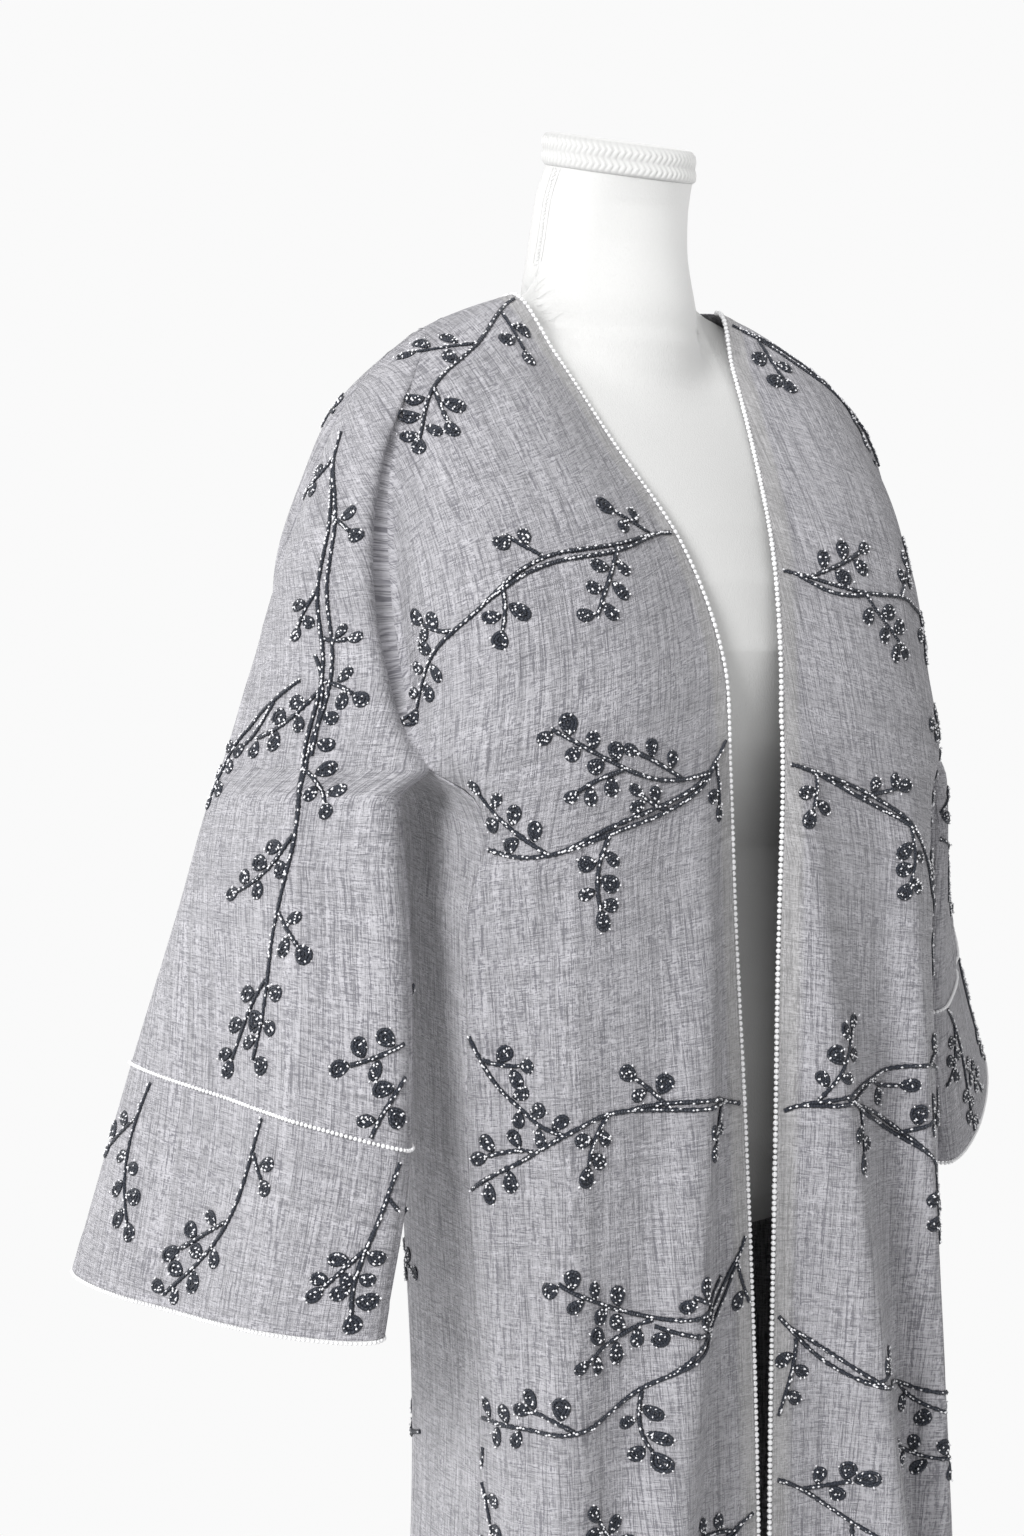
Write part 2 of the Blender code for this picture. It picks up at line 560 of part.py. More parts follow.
def edge_trims(cloth, points, unit, finish):
    """Rows of beads beside the front edges and the back of the neck, just clear of the cloth."""
    place = np.array(cloth.place)
    reach = BEAD / 2 + SEAM
    for side, sign in (("right", -1), ("left", 1)):
        faces = cloth.faces["front_" + side]
        used = sorted({i for face in faces for i in face})
        line = [i for i in used if place[i][2] == 0.0 and place[i][0] == 0]
        line.sort(key=lambda i: place[i][3])
        beside = {}
        for face in faces:
            for i in face:
                if i in line:
                    beside.setdefault(i, set()).update(j for j in face if j not in line)
        path = []
        for i in line:
            away = points[i] - np.mean([points[j] for j in beside[i]], axis=0)
            along = points[line[min(line.index(i) + 1, len(line) - 1)]] \
                - points[line[max(line.index(i) - 1, 0)]]
            along /= np.linalg.norm(along)
            away -= along * (away @ along)
            away /= np.linalg.norm(away)
            path.append(points[i] + away * reach - unit[i] * CLOTH / 2)
        make_rope("edge_trim_" + side, path, BEAD / 2, 5, False, finish)
    downs = place[:, 3] == 0.0
    inner = place[:, 2] <= 0.0
    neck = [i for i in range(len(points)) if downs[i] and inner[i]]
    neck.sort(key=lambda i: points[i][0])
    path = [points[i] + np.array([0, 0, reach]) - unit[i] * CLOTH / 2 for i in neck[1:-1]]
    make_rope("neck_trim", path, BEAD / 2, 5, False, finish)


def ring_ids(cloth, side, down):
    """The points round a sleeve at one row, from the underarm seam over the ridge and back."""
    sign = -1 if side == "right" else 1
    used = {i for face in cloth.faces["sleeve_band_" + side] for i in face}
    here = [(i, cloth.place[i]) for i in used if abs(cloth.place[i][3] - down) < 1e-9
            and cloth.place[i][1] == sign]
    front = sorted((p[2], i) for i, p in here if p[0] == 0)
    back = sorted((-p[2], i) for i, p in here if p[0] == 1)
    return [i for _, i in front] + [i for _, i in back]


def sleeve_trims(cloth, points, unit, finish):
    """A ring of beads over each band's seam, and one under each cuff's hem."""
    reach = BEAD / 2 + BEAD_GAP
    for side in ("right", "left"):
        seam = ring_ids(cloth, side, BAND_SEAM)
        path = [points[i] + unit[i] * reach for i in seam]
        make_rope("band_trim_" + side, path, BEAD / 2, 5, True, finish)
        hem = ring_ids(cloth, side, CUFF)
        above = ring_ids(cloth, side, BAND_DOWNS[-2])
        path = []
        for i, j in zip(hem, above):
            away = points[i] - points[j]
            path.append(points[i] + away / np.linalg.norm(away) * reach - unit[i] * CLOTH / 2)
        make_rope("cuff_trim_" + side, path, BEAD / 2, 5, True, finish)


def circle(radius, height, middle, count, tilt=0.0):
    """A round ring, lower at the front where it is tilted."""
    turn = np.linspace(0, 2 * math.pi, count, endpoint=False)
    y = radius * np.sin(turn)
    return np.stack([radius * np.cos(turn), middle + y, height + tilt * y], 1)


def form_ring(row, count, tilt):
    """One ring of the form: an ellipse of unequal depths, with the neck's column joined in."""
    turn = np.linspace(0, 2 * math.pi, count, endpoint=False)
    x = row["half"] * np.cos(turn)
    reach = np.where(np.sin(turn) < 0, row["front"], row["back"]) * np.abs(np.sin(turn))
    side = np.where(np.sin(turn) < 0, -1.0, 1.0)
    column = np.sqrt(np.clip(row["neck"] ** 2 - x ** 2, 0, None))
    column = np.clip(column + side * (row["neck_y"] - row["middle"]), 0, None) * (column > 0)
    depth = (reach ** 8 + column ** 8) ** 0.125
    y = row["middle"] + side * depth
    return np.stack([x, y, row["height"] + tilt * (y - row["neck_y"])], 1)


def loft(name, rings, finish):
    """A closed body through rings of equal count, with a flat face at each end."""
    count = len(rings[0])
    verts = np.concatenate(rings)
    faces = []
    for r in range(len(rings) - 1):
        for k in range(count):
            m = (k + 1) % count
            faces.append([r * count + k, r * count + m, (r + 1) * count + m, (r + 1) * count + k])
    faces.append(list(range(count))[::-1])
    faces.append([(len(rings) - 1) * count + k for k in range(count)])
    return make_object(name, verts, faces, finish)


def build_form(jersey, paint):
    """Torso with its neck, the cap on the neck, the pole and the round foot."""
    rings = []
    for i, height in enumerate(FORM["height"]):
        row = {k: v[i] for k, v in FORM.items()}
        tilt = NECK_TILT * np.clip((height - 1.480) / (NECK_TOP - 1.480), 0, 1)
        rings.append(form_ring(row, 40, tilt))
    loft("form_torso", rings, jersey)
    neck_y = FORM["neck_y"][-1]
    profile = ((0.975, 0.0), (1.0, 0.15), (1.0, 0.80), (0.95, 0.95), (0.84, 1.0))
    loft("form_neck_cap", [circle(CAP_RADIUS * out, NECK_TOP + 1.5 * SEAM + CAP_HEIGHT * up, neck_y,
                                  32, NECK_TILT) for out, up in profile], jersey)
    low, high = BASE_HEIGHT + SEAM, TORSO_BOTTOM - SEAM
    loft("stand_pole", [circle(POLE_RADIUS, z, 0.0, 24) for z in (low, high)], paint)
    profile = ((1.0, 0.0), (1.0, 0.45), (0.985, 0.62), (0.94, 0.75), (0.30, 0.93), (0.16, 1.0))
    loft("stand_base", [circle(BASE_RADIUS * out, BASE_HEIGHT * up, 0.0, 48) for out, up in profile],
         paint)


def main():
    for thing in list(bpy.data.objects):
        bpy.data.objects.remove(thing, do_unlink=True)
    grey = material("abaya_cloth", CLOTH_GREY, 0.85)
    beads = material("bead_trim", BEAD_WHITE, 0.35)
    jersey = material("form_jersey", JERSEY_WHITE, 0.9)
    paint = material("stand_paint", STAND_WHITE, 0.45)
    cloth, points, unit, even = build_cloth()
    for piece, faces in cloth.faces.items():
        others = {i for name, rest in cloth.faces.items() if name != piece
                  for face in rest for i in face}
        own = panel_points(points, unit, faces, others)
        make_wall(piece, faces, own, unit, even, grey)
    edge_trims(cloth, points, unit, beads)
    sleeve_trims(cloth, points, unit, beads)
    build_form(jersey, paint)


main()
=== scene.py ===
import math

import bpy
import numpy as np
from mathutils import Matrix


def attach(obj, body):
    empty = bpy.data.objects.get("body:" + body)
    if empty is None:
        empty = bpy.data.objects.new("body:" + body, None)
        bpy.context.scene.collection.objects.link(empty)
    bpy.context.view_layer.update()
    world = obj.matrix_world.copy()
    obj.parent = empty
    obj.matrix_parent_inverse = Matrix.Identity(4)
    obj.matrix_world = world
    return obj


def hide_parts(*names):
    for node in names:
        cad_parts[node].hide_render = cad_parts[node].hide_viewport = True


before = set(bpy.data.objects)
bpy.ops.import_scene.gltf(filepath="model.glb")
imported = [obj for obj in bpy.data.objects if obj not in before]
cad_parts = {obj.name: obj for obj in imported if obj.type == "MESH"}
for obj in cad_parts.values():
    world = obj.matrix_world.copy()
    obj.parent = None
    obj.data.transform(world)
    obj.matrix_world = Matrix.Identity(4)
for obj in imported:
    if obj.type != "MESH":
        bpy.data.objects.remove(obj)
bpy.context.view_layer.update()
scene = bpy.context.scene

# The studio. The camera stands to the wearer's right of the front and frames the garment from the
# cap of the neck to the knee. A broad soft light on the near sleeve's side and three weaker ones
# stand round a pale floor, which runs into an almost white surround.
CAMERA_AT = (-1.090, -1.556, 1.190)
CAMERA_HEADING = 58.0       # degrees from +X
CAMERA_PITCH = -2.8         # degrees above the horizon
CAMERA_LENS = 57.09         # millimetres, on a frame 36 mm tall
SURROUND = 0.955            # what the camera sees behind the garment
AMBIENT = 0.50              # how strongly the surround lights it
LIGHTS = (                  # name, place, height aimed at, spread in degrees, width and watts
    ("key", (-2.9, -1.25, 2.4), 1.05, 180, 1.2, 92.0),
    ("top", (-1.2, -1.3, 3.5), 1.05, 180, 1.5, 14.0),
    ("behind", (-2.0, 2.4, 1.3), 1.05, 180, 2.2, 32.0),
    ("neck", (1.7, -1.4, 2.1), 1.56, 9, 0.25, 0.10))
FLOOR_RADIUS = 3.0
FLOOR_AROUND = 96
FLOOR_LIT = (0.5, 1.4)      # the lit floor fades into the surround between these distances

camera = bpy.data.cameras.new("camera")
camera.sensor_fit = "VERTICAL"
camera.sensor_height = 36.0
camera.lens = CAMERA_LENS
camera_object = bpy.data.objects.new("camera", camera)
camera_object.location = CAMERA_AT
camera_object.rotation_euler = (math.radians(90 + CAMERA_PITCH), 0.0, math.radians(CAMERA_HEADING - 90))
scene.collection.objects.link(camera_object)
scene.camera = camera_object
scene.view_settings.view_transform = "Standard"

world = bpy.data.worlds.new("surround")
world.use_nodes = True
scene.world = world
background = world.node_tree.nodes["Background"]
background.inputs["Color"].default_value = (1.0, 1.0, 1.0, 1.0)
seen = world.node_tree.nodes.new("ShaderNodeLightPath")
strength = world.node_tree.nodes.new("ShaderNodeMapRange")
strength.inputs["To Min"].default_value = AMBIENT
strength.inputs["To Max"].default_value = SURROUND
world.node_tree.links.new(seen.outputs["Is Camera Ray"], strength.inputs["Value"])
world.node_tree.links.new(strength.outputs["Result"], background.inputs["Strength"])

for name, place, aimed_at, spread, width, power in LIGHTS:
    lamp = bpy.data.lights.new(name, "AREA")
    lamp.size = width
    lamp.spread = math.radians(spread)
    lamp.energy = power
    lamp_object = bpy.data.objects.new(name, lamp)
    lamp_object.location = place
    aim = np.array([0.0, 0.0, aimed_at]) - np.array(place)
    lamp_object.rotation_euler = (math.atan2(math.hypot(aim[0], aim[1]), -aim[2]), 0.0,
                                  math.atan2(aim[1], aim[0]) - math.pi / 2)
    scene.collection.objects.link(lamp_object)


class Socket:
    """One output of a shader node. Sums and products of it add Math nodes."""

    def __init__(self, finish, output):
        self.finish = finish
        self.output = output

    def math(self, operation, *values):
        return self.finish.node("Math", {"operation": operation}, dict(enumerate(values)))

    def __add__(self, other):
        return self.math("ADD", self, other)

    def __sub__(self, other):
        return self.math("SUBTRACT", self, other)

    def __rsub__(self, other):
        return self.math("SUBTRACT", other, self)

    def __mul__(self, other):
        return self.math("MULTIPLY", self, other)

    __radd__ = __add__
    __rmul__ = __mul__


class Finish:
    """A material, with one method that adds any node and a few that set what its surface shows."""

    def __init__(self, name, roughness, sheen=0.0, coat=0.0):
        self.material = bpy.data.materials.new(name)
        self.material.use_nodes = True
        self.tree = self.material.node_tree
        self.shader = self.tree.nodes["Principled BSDF"]
        self.shader.inputs["Roughness"].default_value = roughness
        self.shader.inputs["Sheen Weight"].default_value = sheen
        self.shader.inputs["Coat Weight"].default_value = coat

    def put(self, socket, value):
        """Links a socket to another node's output, or sets its value."""
        if isinstance(value, Socket):
            self.tree.links.new(value.output, socket)
        else:
            socket.default_value = value

    def node(self, kind, settings, values, out=0):
        """Any node, from its type, its settings, its sockets' values or links and its output."""
        made = self.tree.nodes.new("ShaderNode" + kind)
        for key, value in settings.items():
            setattr(made, key, value)
        for key, value in values.items():
            self.put(made.inputs[key], value)
        return Socket(self, made.outputs[out])

    def place(self):
        return self.node("TexCoord", {}, {}, "Object")

    def cut(self):
        """Place on the piece's own flat cut, in metres."""
        return self.node("UVMap", {"uv_map": "cut"}, {})

    def stretched(self, vector, *factors):
        return self.node("VectorMath", {"operation": "MULTIPLY"}, {0: vector, 1: factors})

    def noise(self, vector, detail):
        return self.node("TexNoise", {}, {"Vector": vector, "Scale": 1.0, "Detail": detail})

    def streaks(self, flat, fine, long, way):
        """Threads as noise drawn out along one way of the flat cloth, fine a metre across them and
        long a metre along them. Each thread starts at a place of its own."""
        across = self.node("SeparateXYZ", {}, {0: flat}, way) * fine
        along = self.node("SeparateXYZ", {}, {0: flat}, 1 - way) * long
        start = 14.0 * self.noise(self.node("CombineXYZ", {}, {0: across * 0.6, 1: 7.0 + way}), 0.0)
        place = self.node("CombineXYZ", {}, {0: across, 1: along + start, 2: 31.0 * way + fine})
        return self.noise(place, 1.0)

    def step(self, value, low, high):
        """0 below low, 1 above high, and a soft rise between."""
        return self.node("MapRange", {"interpolation_type": "SMOOTHSTEP"},
                         {"Value": value, "From Min": low, "From Max": high})

    def mix(self, colour, other, amount):
        return self.node("Mix", {"data_type": "RGBA"}, {0: amount, 6: colour, 7: other}, 2)

    def tinted(self, colour, amount):
        """A colour made lighter or darker by an amount that varies round 1."""
        return self.node("Mix", {"data_type": "RGBA", "blend_type": "MULTIPLY"},
                         {0: 1.0, 6: colour, 7: self.node("CombineColor", {}, {0: amount, 1: amount,
                                                                              2: amount})}, 2)

    def show(self, socket, value):
        self.put(self.shader.inputs[socket], value)

    def relief(self, height, depth):
        """Fine surface relief of the given depth in metres."""
        self.show("Normal", self.node("Bump", {}, {"Height": height, "Distance": depth}))


floor_finish = Finish("floor", 0.9)
distance = floor_finish.node("VectorMath", {"operation": "LENGTH"}, {0: floor_finish.place()}, "Value")
faded = floor_finish.step(distance, *FLOOR_LIT)
black = (0.0, 0.0, 0.0, 1.0)
floor_finish.show("Base Color", floor_finish.mix((0.90, 0.90, 0.90, 1.0), black, faded))
floor_finish.show("Emission Color", floor_finish.mix(black, (SURROUND, SURROUND, SURROUND, 1.0), faded))
floor_finish.shader.inputs["Emission Strength"].default_value = 1.0
floor_finish.shader.inputs["Specular IOR Level"].default_value = 0.0
turn = np.linspace(0, 2 * math.pi, FLOOR_AROUND, endpoint=False)
floor_mesh = bpy.data.meshes.new("floor")
floor_rim = np.stack([FLOOR_RADIUS * np.cos(turn), FLOOR_RADIUS * np.sin(turn), 0 * turn], 1)
floor_mesh.from_pydata(floor_rim.tolist(), [], [list(range(len(turn)))])
floor_mesh.materials.append(floor_finish.material)
floor_object = bpy.data.objects.new("floor", floor_mesh)
scene.collection.objects.link(floor_object)


# The stand. A pressed steel foot and a steel pole, both painted satin white. The pole ends under the
# padded form and carries it. The picture ends above them, so they are plain.
FOOT_RADIUS = 0.150
FOOT_HEIGHT = 0.022
FOOT_FLAT = 0.100           # radius of a ring on the underside
FOOT_EDGE = 0.0015          # radius of the rounded lower edge
FOOT_RISE = ((0.150, 0.010), (0.1478, 0.0138), (0.1410, 0.0166), (0.120, 0.0181), (0.080, 0.0194),
             (0.045, 0.0205), (0.030, 0.0213))      # radius and height of the domed upper side
COLLAR_RADIUS = 0.024
POLE_RADIUS = 0.0175
POLE_TOP = 0.7447
POLE_GAP = 0.0003


def quads(rows, columns, closed=False):
    """Faces of a grid of points, row after row. Closed joins the last column to the first."""
    r = np.arange(rows - 1)[:, None]
    c = np.arange(columns if closed else columns - 1)[None, :]
    d = (c + 1) % columns
    return np.stack([r * columns + c, r * columns + d, (r + 1) * columns + d, (r + 1) * columns + c],
                    -1).reshape(-1, 4)


def piece(name, points, faces, finish, replaced=(), cut=None):
    """A smooth-shaded piece from its points and faces that rides on the part. The cut holds each
    face corner's place on the flat cloth."""
    mesh = bpy.data.meshes.new(name)
    faces = [list(dict.fromkeys(f)) for f in np.asarray(faces).tolist()] if cut is None else faces.tolist()
    mesh.from_pydata(np.asarray(points, float).tolist(), [], faces)
    if cut is not None:
        mesh.uv_layers.new(name="cut").data.foreach_set("uv", np.asarray(cut, np.float32).ravel())
    mesh.shade_smooth()
    mesh.materials.append(finish.material)
    made = bpy.data.objects.new(name, mesh)
    scene.collection.objects.link(made)
    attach(made, "root")
    if replaced:
        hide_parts(*replaced)
    return made


def lofted(rings):
    """Points and faces of a body through its rings. Its first and last rings are drawn together
    into one point each, which closes it."""
    around = rings.shape[1]
    points = rings.reshape(-1, 3)[around - 1:rings.shape[0] * around - around + 1]
    faces = quads(rings.shape[0], around, True) - (around - 1)
    return points, np.clip(faces, 0, len(points) - 1)


def turned(profile, around):
    """A profile of radii and heights carried round the upright axis, from axis to axis."""
    turn = np.linspace(0, 2 * math.pi, around, endpoint=False)
    radius, height = np.array(profile, float).T[:, :, None]
    return lofted(np.stack([radius * np.cos(turn), radius * np.sin(turn), height + 0 * turn], -1))


paint = Finish("stand_paint", 0.38, coat=0.25)
paint_speck = paint.noise(paint.stretched(paint.place(), 240.0, 240.0, 240.0), 3.0)
paint_wear = paint.noise(paint.stretched(paint.place(), 9.0, 9.0, 9.0), 4.0)
paint.show("Base Color", paint.tinted((0.80, 0.80, 0.79, 1.0), 0.96 + 0.07 * paint_wear))
paint.show("Roughness", 0.30 + 0.22 * paint_wear)
paint.relief(paint_speck, 0.00012)

rounded = [(FOOT_RADIUS - FOOT_EDGE + FOOT_EDGE * math.sin(t), FOOT_EDGE - FOOT_EDGE * math.cos(t))
           for t in np.linspace(0.3, math.pi / 2, 4)]
foot_profile = [(0.0, 0.0), (FOOT_FLAT, 0.0), (FOOT_RADIUS - FOOT_EDGE, 0.0), *rounded, *FOOT_RISE,
                (COLLAR_RADIUS, FOOT_HEIGHT), (0.0, FOOT_HEIGHT)]
points, faces = turned(foot_profile, 128)
foot = piece("foot", points, faces, paint, ["stand_base"])
pole_foot = FOOT_HEIGHT + POLE_GAP
pole_profile = [(0.0, pole_foot), (POLE_RADIUS, pole_foot), (POLE_RADIUS, 0.70),
                (POLE_RADIUS, POLE_TOP), (0.0, POLE_TOP)]
points, faces = turned(pole_profile, 64)
pole = piece("pole", points, faces, paint, ["stand_pole"])
for thing in (foot, pole):
    thing.data.set_sharp_from_angle(angle=math.radians(35))


# The dress form. A body of foam covered in white knitted jersey, with no arms or head. Under the
# cloth it stands back a little, so that the garment lies clear of it.
def table(columns, *rows):
    """A short table: each column's name and its values from the first row to the last."""
    return dict(zip(columns.split(), np.array(rows, float).T))


def smooth(at, knots, values):
    """A cubic curve through the values, with each knot's slope drawn between its two neighbours."""
    knots = np.asarray(knots, float)
    values = np.asarray(values, float)
    step = np.diff(knots)
    rise = np.diff(values, axis=0) / step.reshape(-1, *[1] * (values.ndim - 1))
    slope = np.concatenate([rise[:1], (rise[1:] + rise[:-1]) / 2.0, rise[-1:]])
    at = np.clip(np.asarray(at, float), knots[0], knots[-1])
    i = np.clip(np.searchsorted(knots, at, side="right") - 1, 0, len(step) - 1)
    shape = at.shape + (1,) * (values.ndim - 1)
    t = ((at - knots[i]) / step[i]).reshape(shape)
    width = step[i].reshape(shape)
    return (values[i] * (1 + 2 * t) * (1 - t) ** 2 + values[i + 1] * t ** 2 * (3 - 2 * t)
            + slope[i] * width * t * (1 - t) ** 2 - slope[i + 1] * width * t ** 2 * (1 - t))


NECK_TOP = 1.561
NECK_TILT = 0.25            # slope of the neck's upper end, which rises towards the back
TILT_FROM = 1.480           # the neck begins to tilt here
NECK_FOOT = 1.462           # above this the neck's values are averaged up and down
NECK_SOFT = 0.014           # over this
NECK_ROUND = (1.466, 1.490) # between these the rings pass into the round column
CLOTHED = (1.12, 1.452)     # between these the form stands back
SET_BACK = 0.0016
FORM_DROP = 0.0006          # the form lies this much lower than its table
FORM_ROWS = 130
FORM_AROUND = 120
# Rings by their height above the floor: half the width, the reach in front of and behind the ring's
# middle, and the radius and middle of the neck's round column, which joins the ring.
FORM = table(
    "height half front back middle neck neck_y",
    (0.745, 0.140, 0.072, 0.078, 0.000, 0.0, 0.0),
    (0.752, 0.160, 0.090, 0.097, 0.000, 0.0, 0.0),
    (0.775, 0.172, 0.104, 0.108, 0.000, 0.0, 0.0),
    (0.820, 0.178, 0.113, 0.116, 0.000, 0.0, 0.0),
    (0.880, 0.177, 0.114, 0.117, 0.000, 0.0, 0.0),
    (0.960, 0.155, 0.104, 0.108, 0.000, 0.0, 0.0),
    (1.040, 0.132, 0.098, 0.095, 0.000, 0.0, 0.0),
    (1.120, 0.150, 0.125, 0.101, 0.003, 0.0, 0.0),
    (1.190, 0.168, 0.139, 0.106, 0.008, 0.0, 0.0),
    (1.240, 0.178, 0.135, 0.102, 0.016, 0.0, 0.0),
    (1.285, 0.186, 0.121, 0.094, 0.024, 0.0, 0.0),
    (1.325, 0.192, 0.103, 0.084, 0.032, 0.050, 0.040),
    (1.362, 0.195, 0.083, 0.074, 0.038, 0.060, 0.040),
    (1.390, 0.195, 0.063, 0.065, 0.040, 0.066, 0.041),
    (1.4075, 0.1925, 0.048, 0.055, 0.040, 0.069, 0.042),
    (1.4190, 0.182, 0.038, 0.045, 0.040, 0.070, 0.043),
    (1.4262, 0.172, 0.032, 0.039, 0.040, 0.070, 0.043),
    (1.4360, 0.148, 0.024, 0.029, 0.039, 0.069, 0.044),
    (1.4482, 0.113, 0.013, 0.016, 0.039, 0.0695, 0.045),
    (1.4566, 0.091, 0.006, 0.010, 0.040, 0.0695, 0.046),
    (1.466, 0.077, 0.006, 0.010, 0.042, 0.0685, 0.047),
    (1.480, 0.069, 0.006, 0.010, 0.045, 0.0665, 0.0485),
    (1.505, 0.0635, 0.006, 0.010, 0.0455, 0.0625, 0.0466),
    (1.540, 0.060, 0.006, 0.010, 0.0415, 0.060, 0.0415),
    (NECK_TOP, 0.0573, 0.006, 0.010, 0.031, 0.0573, 0.031))


def form_surface(height, turn):
    """The form's surface at heights (one a row) and angles. Each ring is an ellipse of unequal
    depths whose edge is the greater of the ellipse and the neck's round column, softly joined. On
    the neck the table's values are averaged over NECK_SOFT up and down."""
    reach = np.clip(np.minimum(height - NECK_FOOT, NECK_TOP - height), 0, NECK_SOFT)
    row = {k: sum(share * np.interp(height + way * reach, FORM["height"], v)[:, None]
                  for way, share in zip((-1, -0.5, 0, 0.5, 1), (0.1, 0.2, 0.4, 0.2, 0.1)))
           for k, v in FORM.items()}
    ring = np.clip((NECK_ROUND[1] - row["height"]) / (NECK_ROUND[1] - NECK_ROUND[0]), 0, 1)
    half = row["neck"] + (row["half"] - row["neck"]) * ring
    half = half - SET_BACK * ((row["height"] > CLOTHED[0]) & (row["height"] < CLOTHED[1]))
    x = half * np.cos(turn)
    front = np.sin(turn) < 0
    reach = np.where(front, row["front"], row["back"]) * np.abs(np.sin(turn))
    side = np.where(front, -1.0, 1.0)
    column = np.sqrt(np.clip(row["neck"] ** 2 - x ** 2, 0, None))
    column = np.clip(column + side * (row["neck_y"] - row["middle"]), 0, None) * (column > 0)
    y = row["middle"] + side * (reach ** 8 + column ** 8) ** 0.125
    tilt = NECK_TILT * np.clip((row["height"] - TILT_FROM) / (NECK_TOP - TILT_FROM), 0, 1)
    return np.stack([x, y, row["height"] - FORM_DROP + tilt * (y - row["neck_y"])], -1)


jersey = Finish("form_jersey", 0.92, sheen=0.35)
knit = jersey.noise(jersey.stretched(jersey.place(), 1100.0, 1100.0, 420.0), 2.0)
soil = jersey.noise(jersey.stretched(jersey.place(), 7.0, 7.0, 7.0), 3.0)
tone = 0.955 + 0.045 * soil + 0.04 * (knit - 0.5)
jersey.show("Base Color", jersey.tinted((0.70, 0.70, 0.693, 1.0), tone))
jersey.relief(knit + 1.5 * soil, 0.00035)

heights = np.concatenate([FORM["height"], np.linspace(FORM["height"][0], NECK_TOP, FORM_ROWS)])
heights = np.unique(heights.round(5))
turn = np.linspace(0, 2 * math.pi, FORM_AROUND, endpoint=False)
surface = form_surface(heights, turn)
middles = surface.mean(1, keepdims=True)
insets = np.array([0.0, 0.4, 0.8])[:, None, None]
surface = np.concatenate([middles[:1] + (surface[:1] - middles[:1]) * insets, surface,
                          middles[-1:] + (surface[-1:] - middles[-1:]) * insets[::-1]])
points, faces = lofted(surface)
torso = piece("form_body", points, faces, jersey, ["form_torso"])
torso.data.set_sharp_from_angle(angle=math.radians(50))


# The neck's cap and seams. A knitted tape, folded over the neck's slanted end, holds a round of
# jersey on top. Its stitches lie in two rows of chevrons, with painted shade in the grooves between
# them. A flat seam with a zigzag stitch runs down each side of the neck.
CAP_RADIUS = 0.0592
CAP_HEIGHT = 0.025
CAP_GAP = 0.0004
CAP_STITCHES = 76
CAP_AROUND = 8 * CAP_STITCHES
CAP_PROFILE = (0, 0.03, 0.50, 0.60, 0.68, 1)        # shares of the way to the top's middle
CAP_UP = (0, 0.06, 0.84, 0.96, 1, 1)                # height there, as a share of the cap's
CAP_OUT = (0.970, 1, 0.995, 0.955, 0.87, 0)         # radius there, as a share of the cap's
TAPE_EDGE = 0.9             # the two rows of stitches end at this share of the cap's height
STITCH_RISE = 0.0015
STITCH_SLANT = 2.2          # how far a stitch runs round while it crosses half a row, in radians
SEAM_FOOT = 1.478
SEAM_POINTS = 116
SEAM_WIDTH = 0.0052
SEAM_THREAD = 0.00042
SEAM_LIFT = 0.0002
ZIGZAG = 0.0016
NECK_RADIUS = 0.060
NECK_MIDDLE = 0.037         # how far the neck's axis lies behind the origin
SIDES = 4                   # of a cord


def cap_stitches(up, turn):
    """How far the tape's stitches stand out at shares of its height and angles, 0 to 1. Each row's
    stitches are a wave that runs along a slant and turns back half-way up the row."""
    place = 2 * np.clip(up / TAPE_EDGE, 0, 0.999) % 1
    wave = np.abs(np.sin(turn * CAP_STITCHES / 2 + STITCH_SLANT * np.abs(2 * place - 1))) ** 0.7
    return wave * (0.30 + 0.70 * np.sin(math.pi * place) ** 1.2)


def cap_surface(across, turn):
    """The cap by its profile (0 at the tape's lower edge, 1 at the top's middle) and angle. The
    tape's radius rises and falls with its stitches."""
    up = np.interp(across, CAP_PROFILE, CAP_UP)[:, None]
    out = np.interp(across, CAP_PROFILE, CAP_OUT)[:, None]
    stitch = cap_stitches(up, turn)
    relief = STITCH_RISE * stitch * np.clip((0.99 - up) / 0.05, 0, 1)
    wrinkle = 0.0005 * np.sin(3 * turn + 9 * out) * np.clip((0.95 - out) * 6, 0, 1) * out
    radius = CAP_RADIUS * out + relief
    y = radius * np.sin(turn)
    height = NECK_TOP + CAP_GAP + CAP_HEIGHT * up + wrinkle - 0.0012 * (1 - up) * (1 - stitch)
    return np.stack([radius * np.cos(turn), FORM["neck_y"][-1] + y, height + NECK_TILT * y], -1)


tape = Finish("neck_tape", 0.92, sheen=0.35)
# Painted shade: the tape's colour is darkened between its stitches, in the grooves.
painted_groove_shade = tape.node("Attribute", {"attribute_name": "painted_groove_shade"}, {}, "Fac")
twist = tape.noise(tape.stretched(tape.place(), 900.0, 900.0, 500.0), 2.0)
tape.show("Base Color", tape.tinted((0.69, 0.69, 0.682, 1.0), 1.0 - 0.21 * painted_groove_shade + 0.05 * (twist - 0.5)))
tape.relief(twist, 0.0003)

across = np.concatenate([np.linspace(0, 0.68, 33), np.linspace(0.72, 1.0, 6)])
turn = np.linspace(0, 2 * math.pi, CAP_AROUND, endpoint=False)
surface = cap_surface(across, turn)
underside = surface[:1].mean(1, keepdims=True) + 0 * surface[:1]
points, faces = lofted(np.concatenate([underside, surface]))
cap = piece("neck_cap", points, faces, tape, ["form_neck_cap"])
x, y, height = points.T - np.array([[0.0], [FORM["neck_y"][-1]], [NECK_TOP + CAP_GAP]])
up = (height - NECK_TILT * y) / CAP_HEIGHT
# Painted shade: 1 in the grooves between the tape's stitches, where its colour is darkened.
between = np.clip((0.97 - up) / 0.04, 0, 1) * (1 - cap_stitches(up, np.arctan2(y, x)))
cap.data.attributes.new("painted_groove_shade", "FLOAT", "POINT").data.foreach_set("value", between.astype(np.float32))


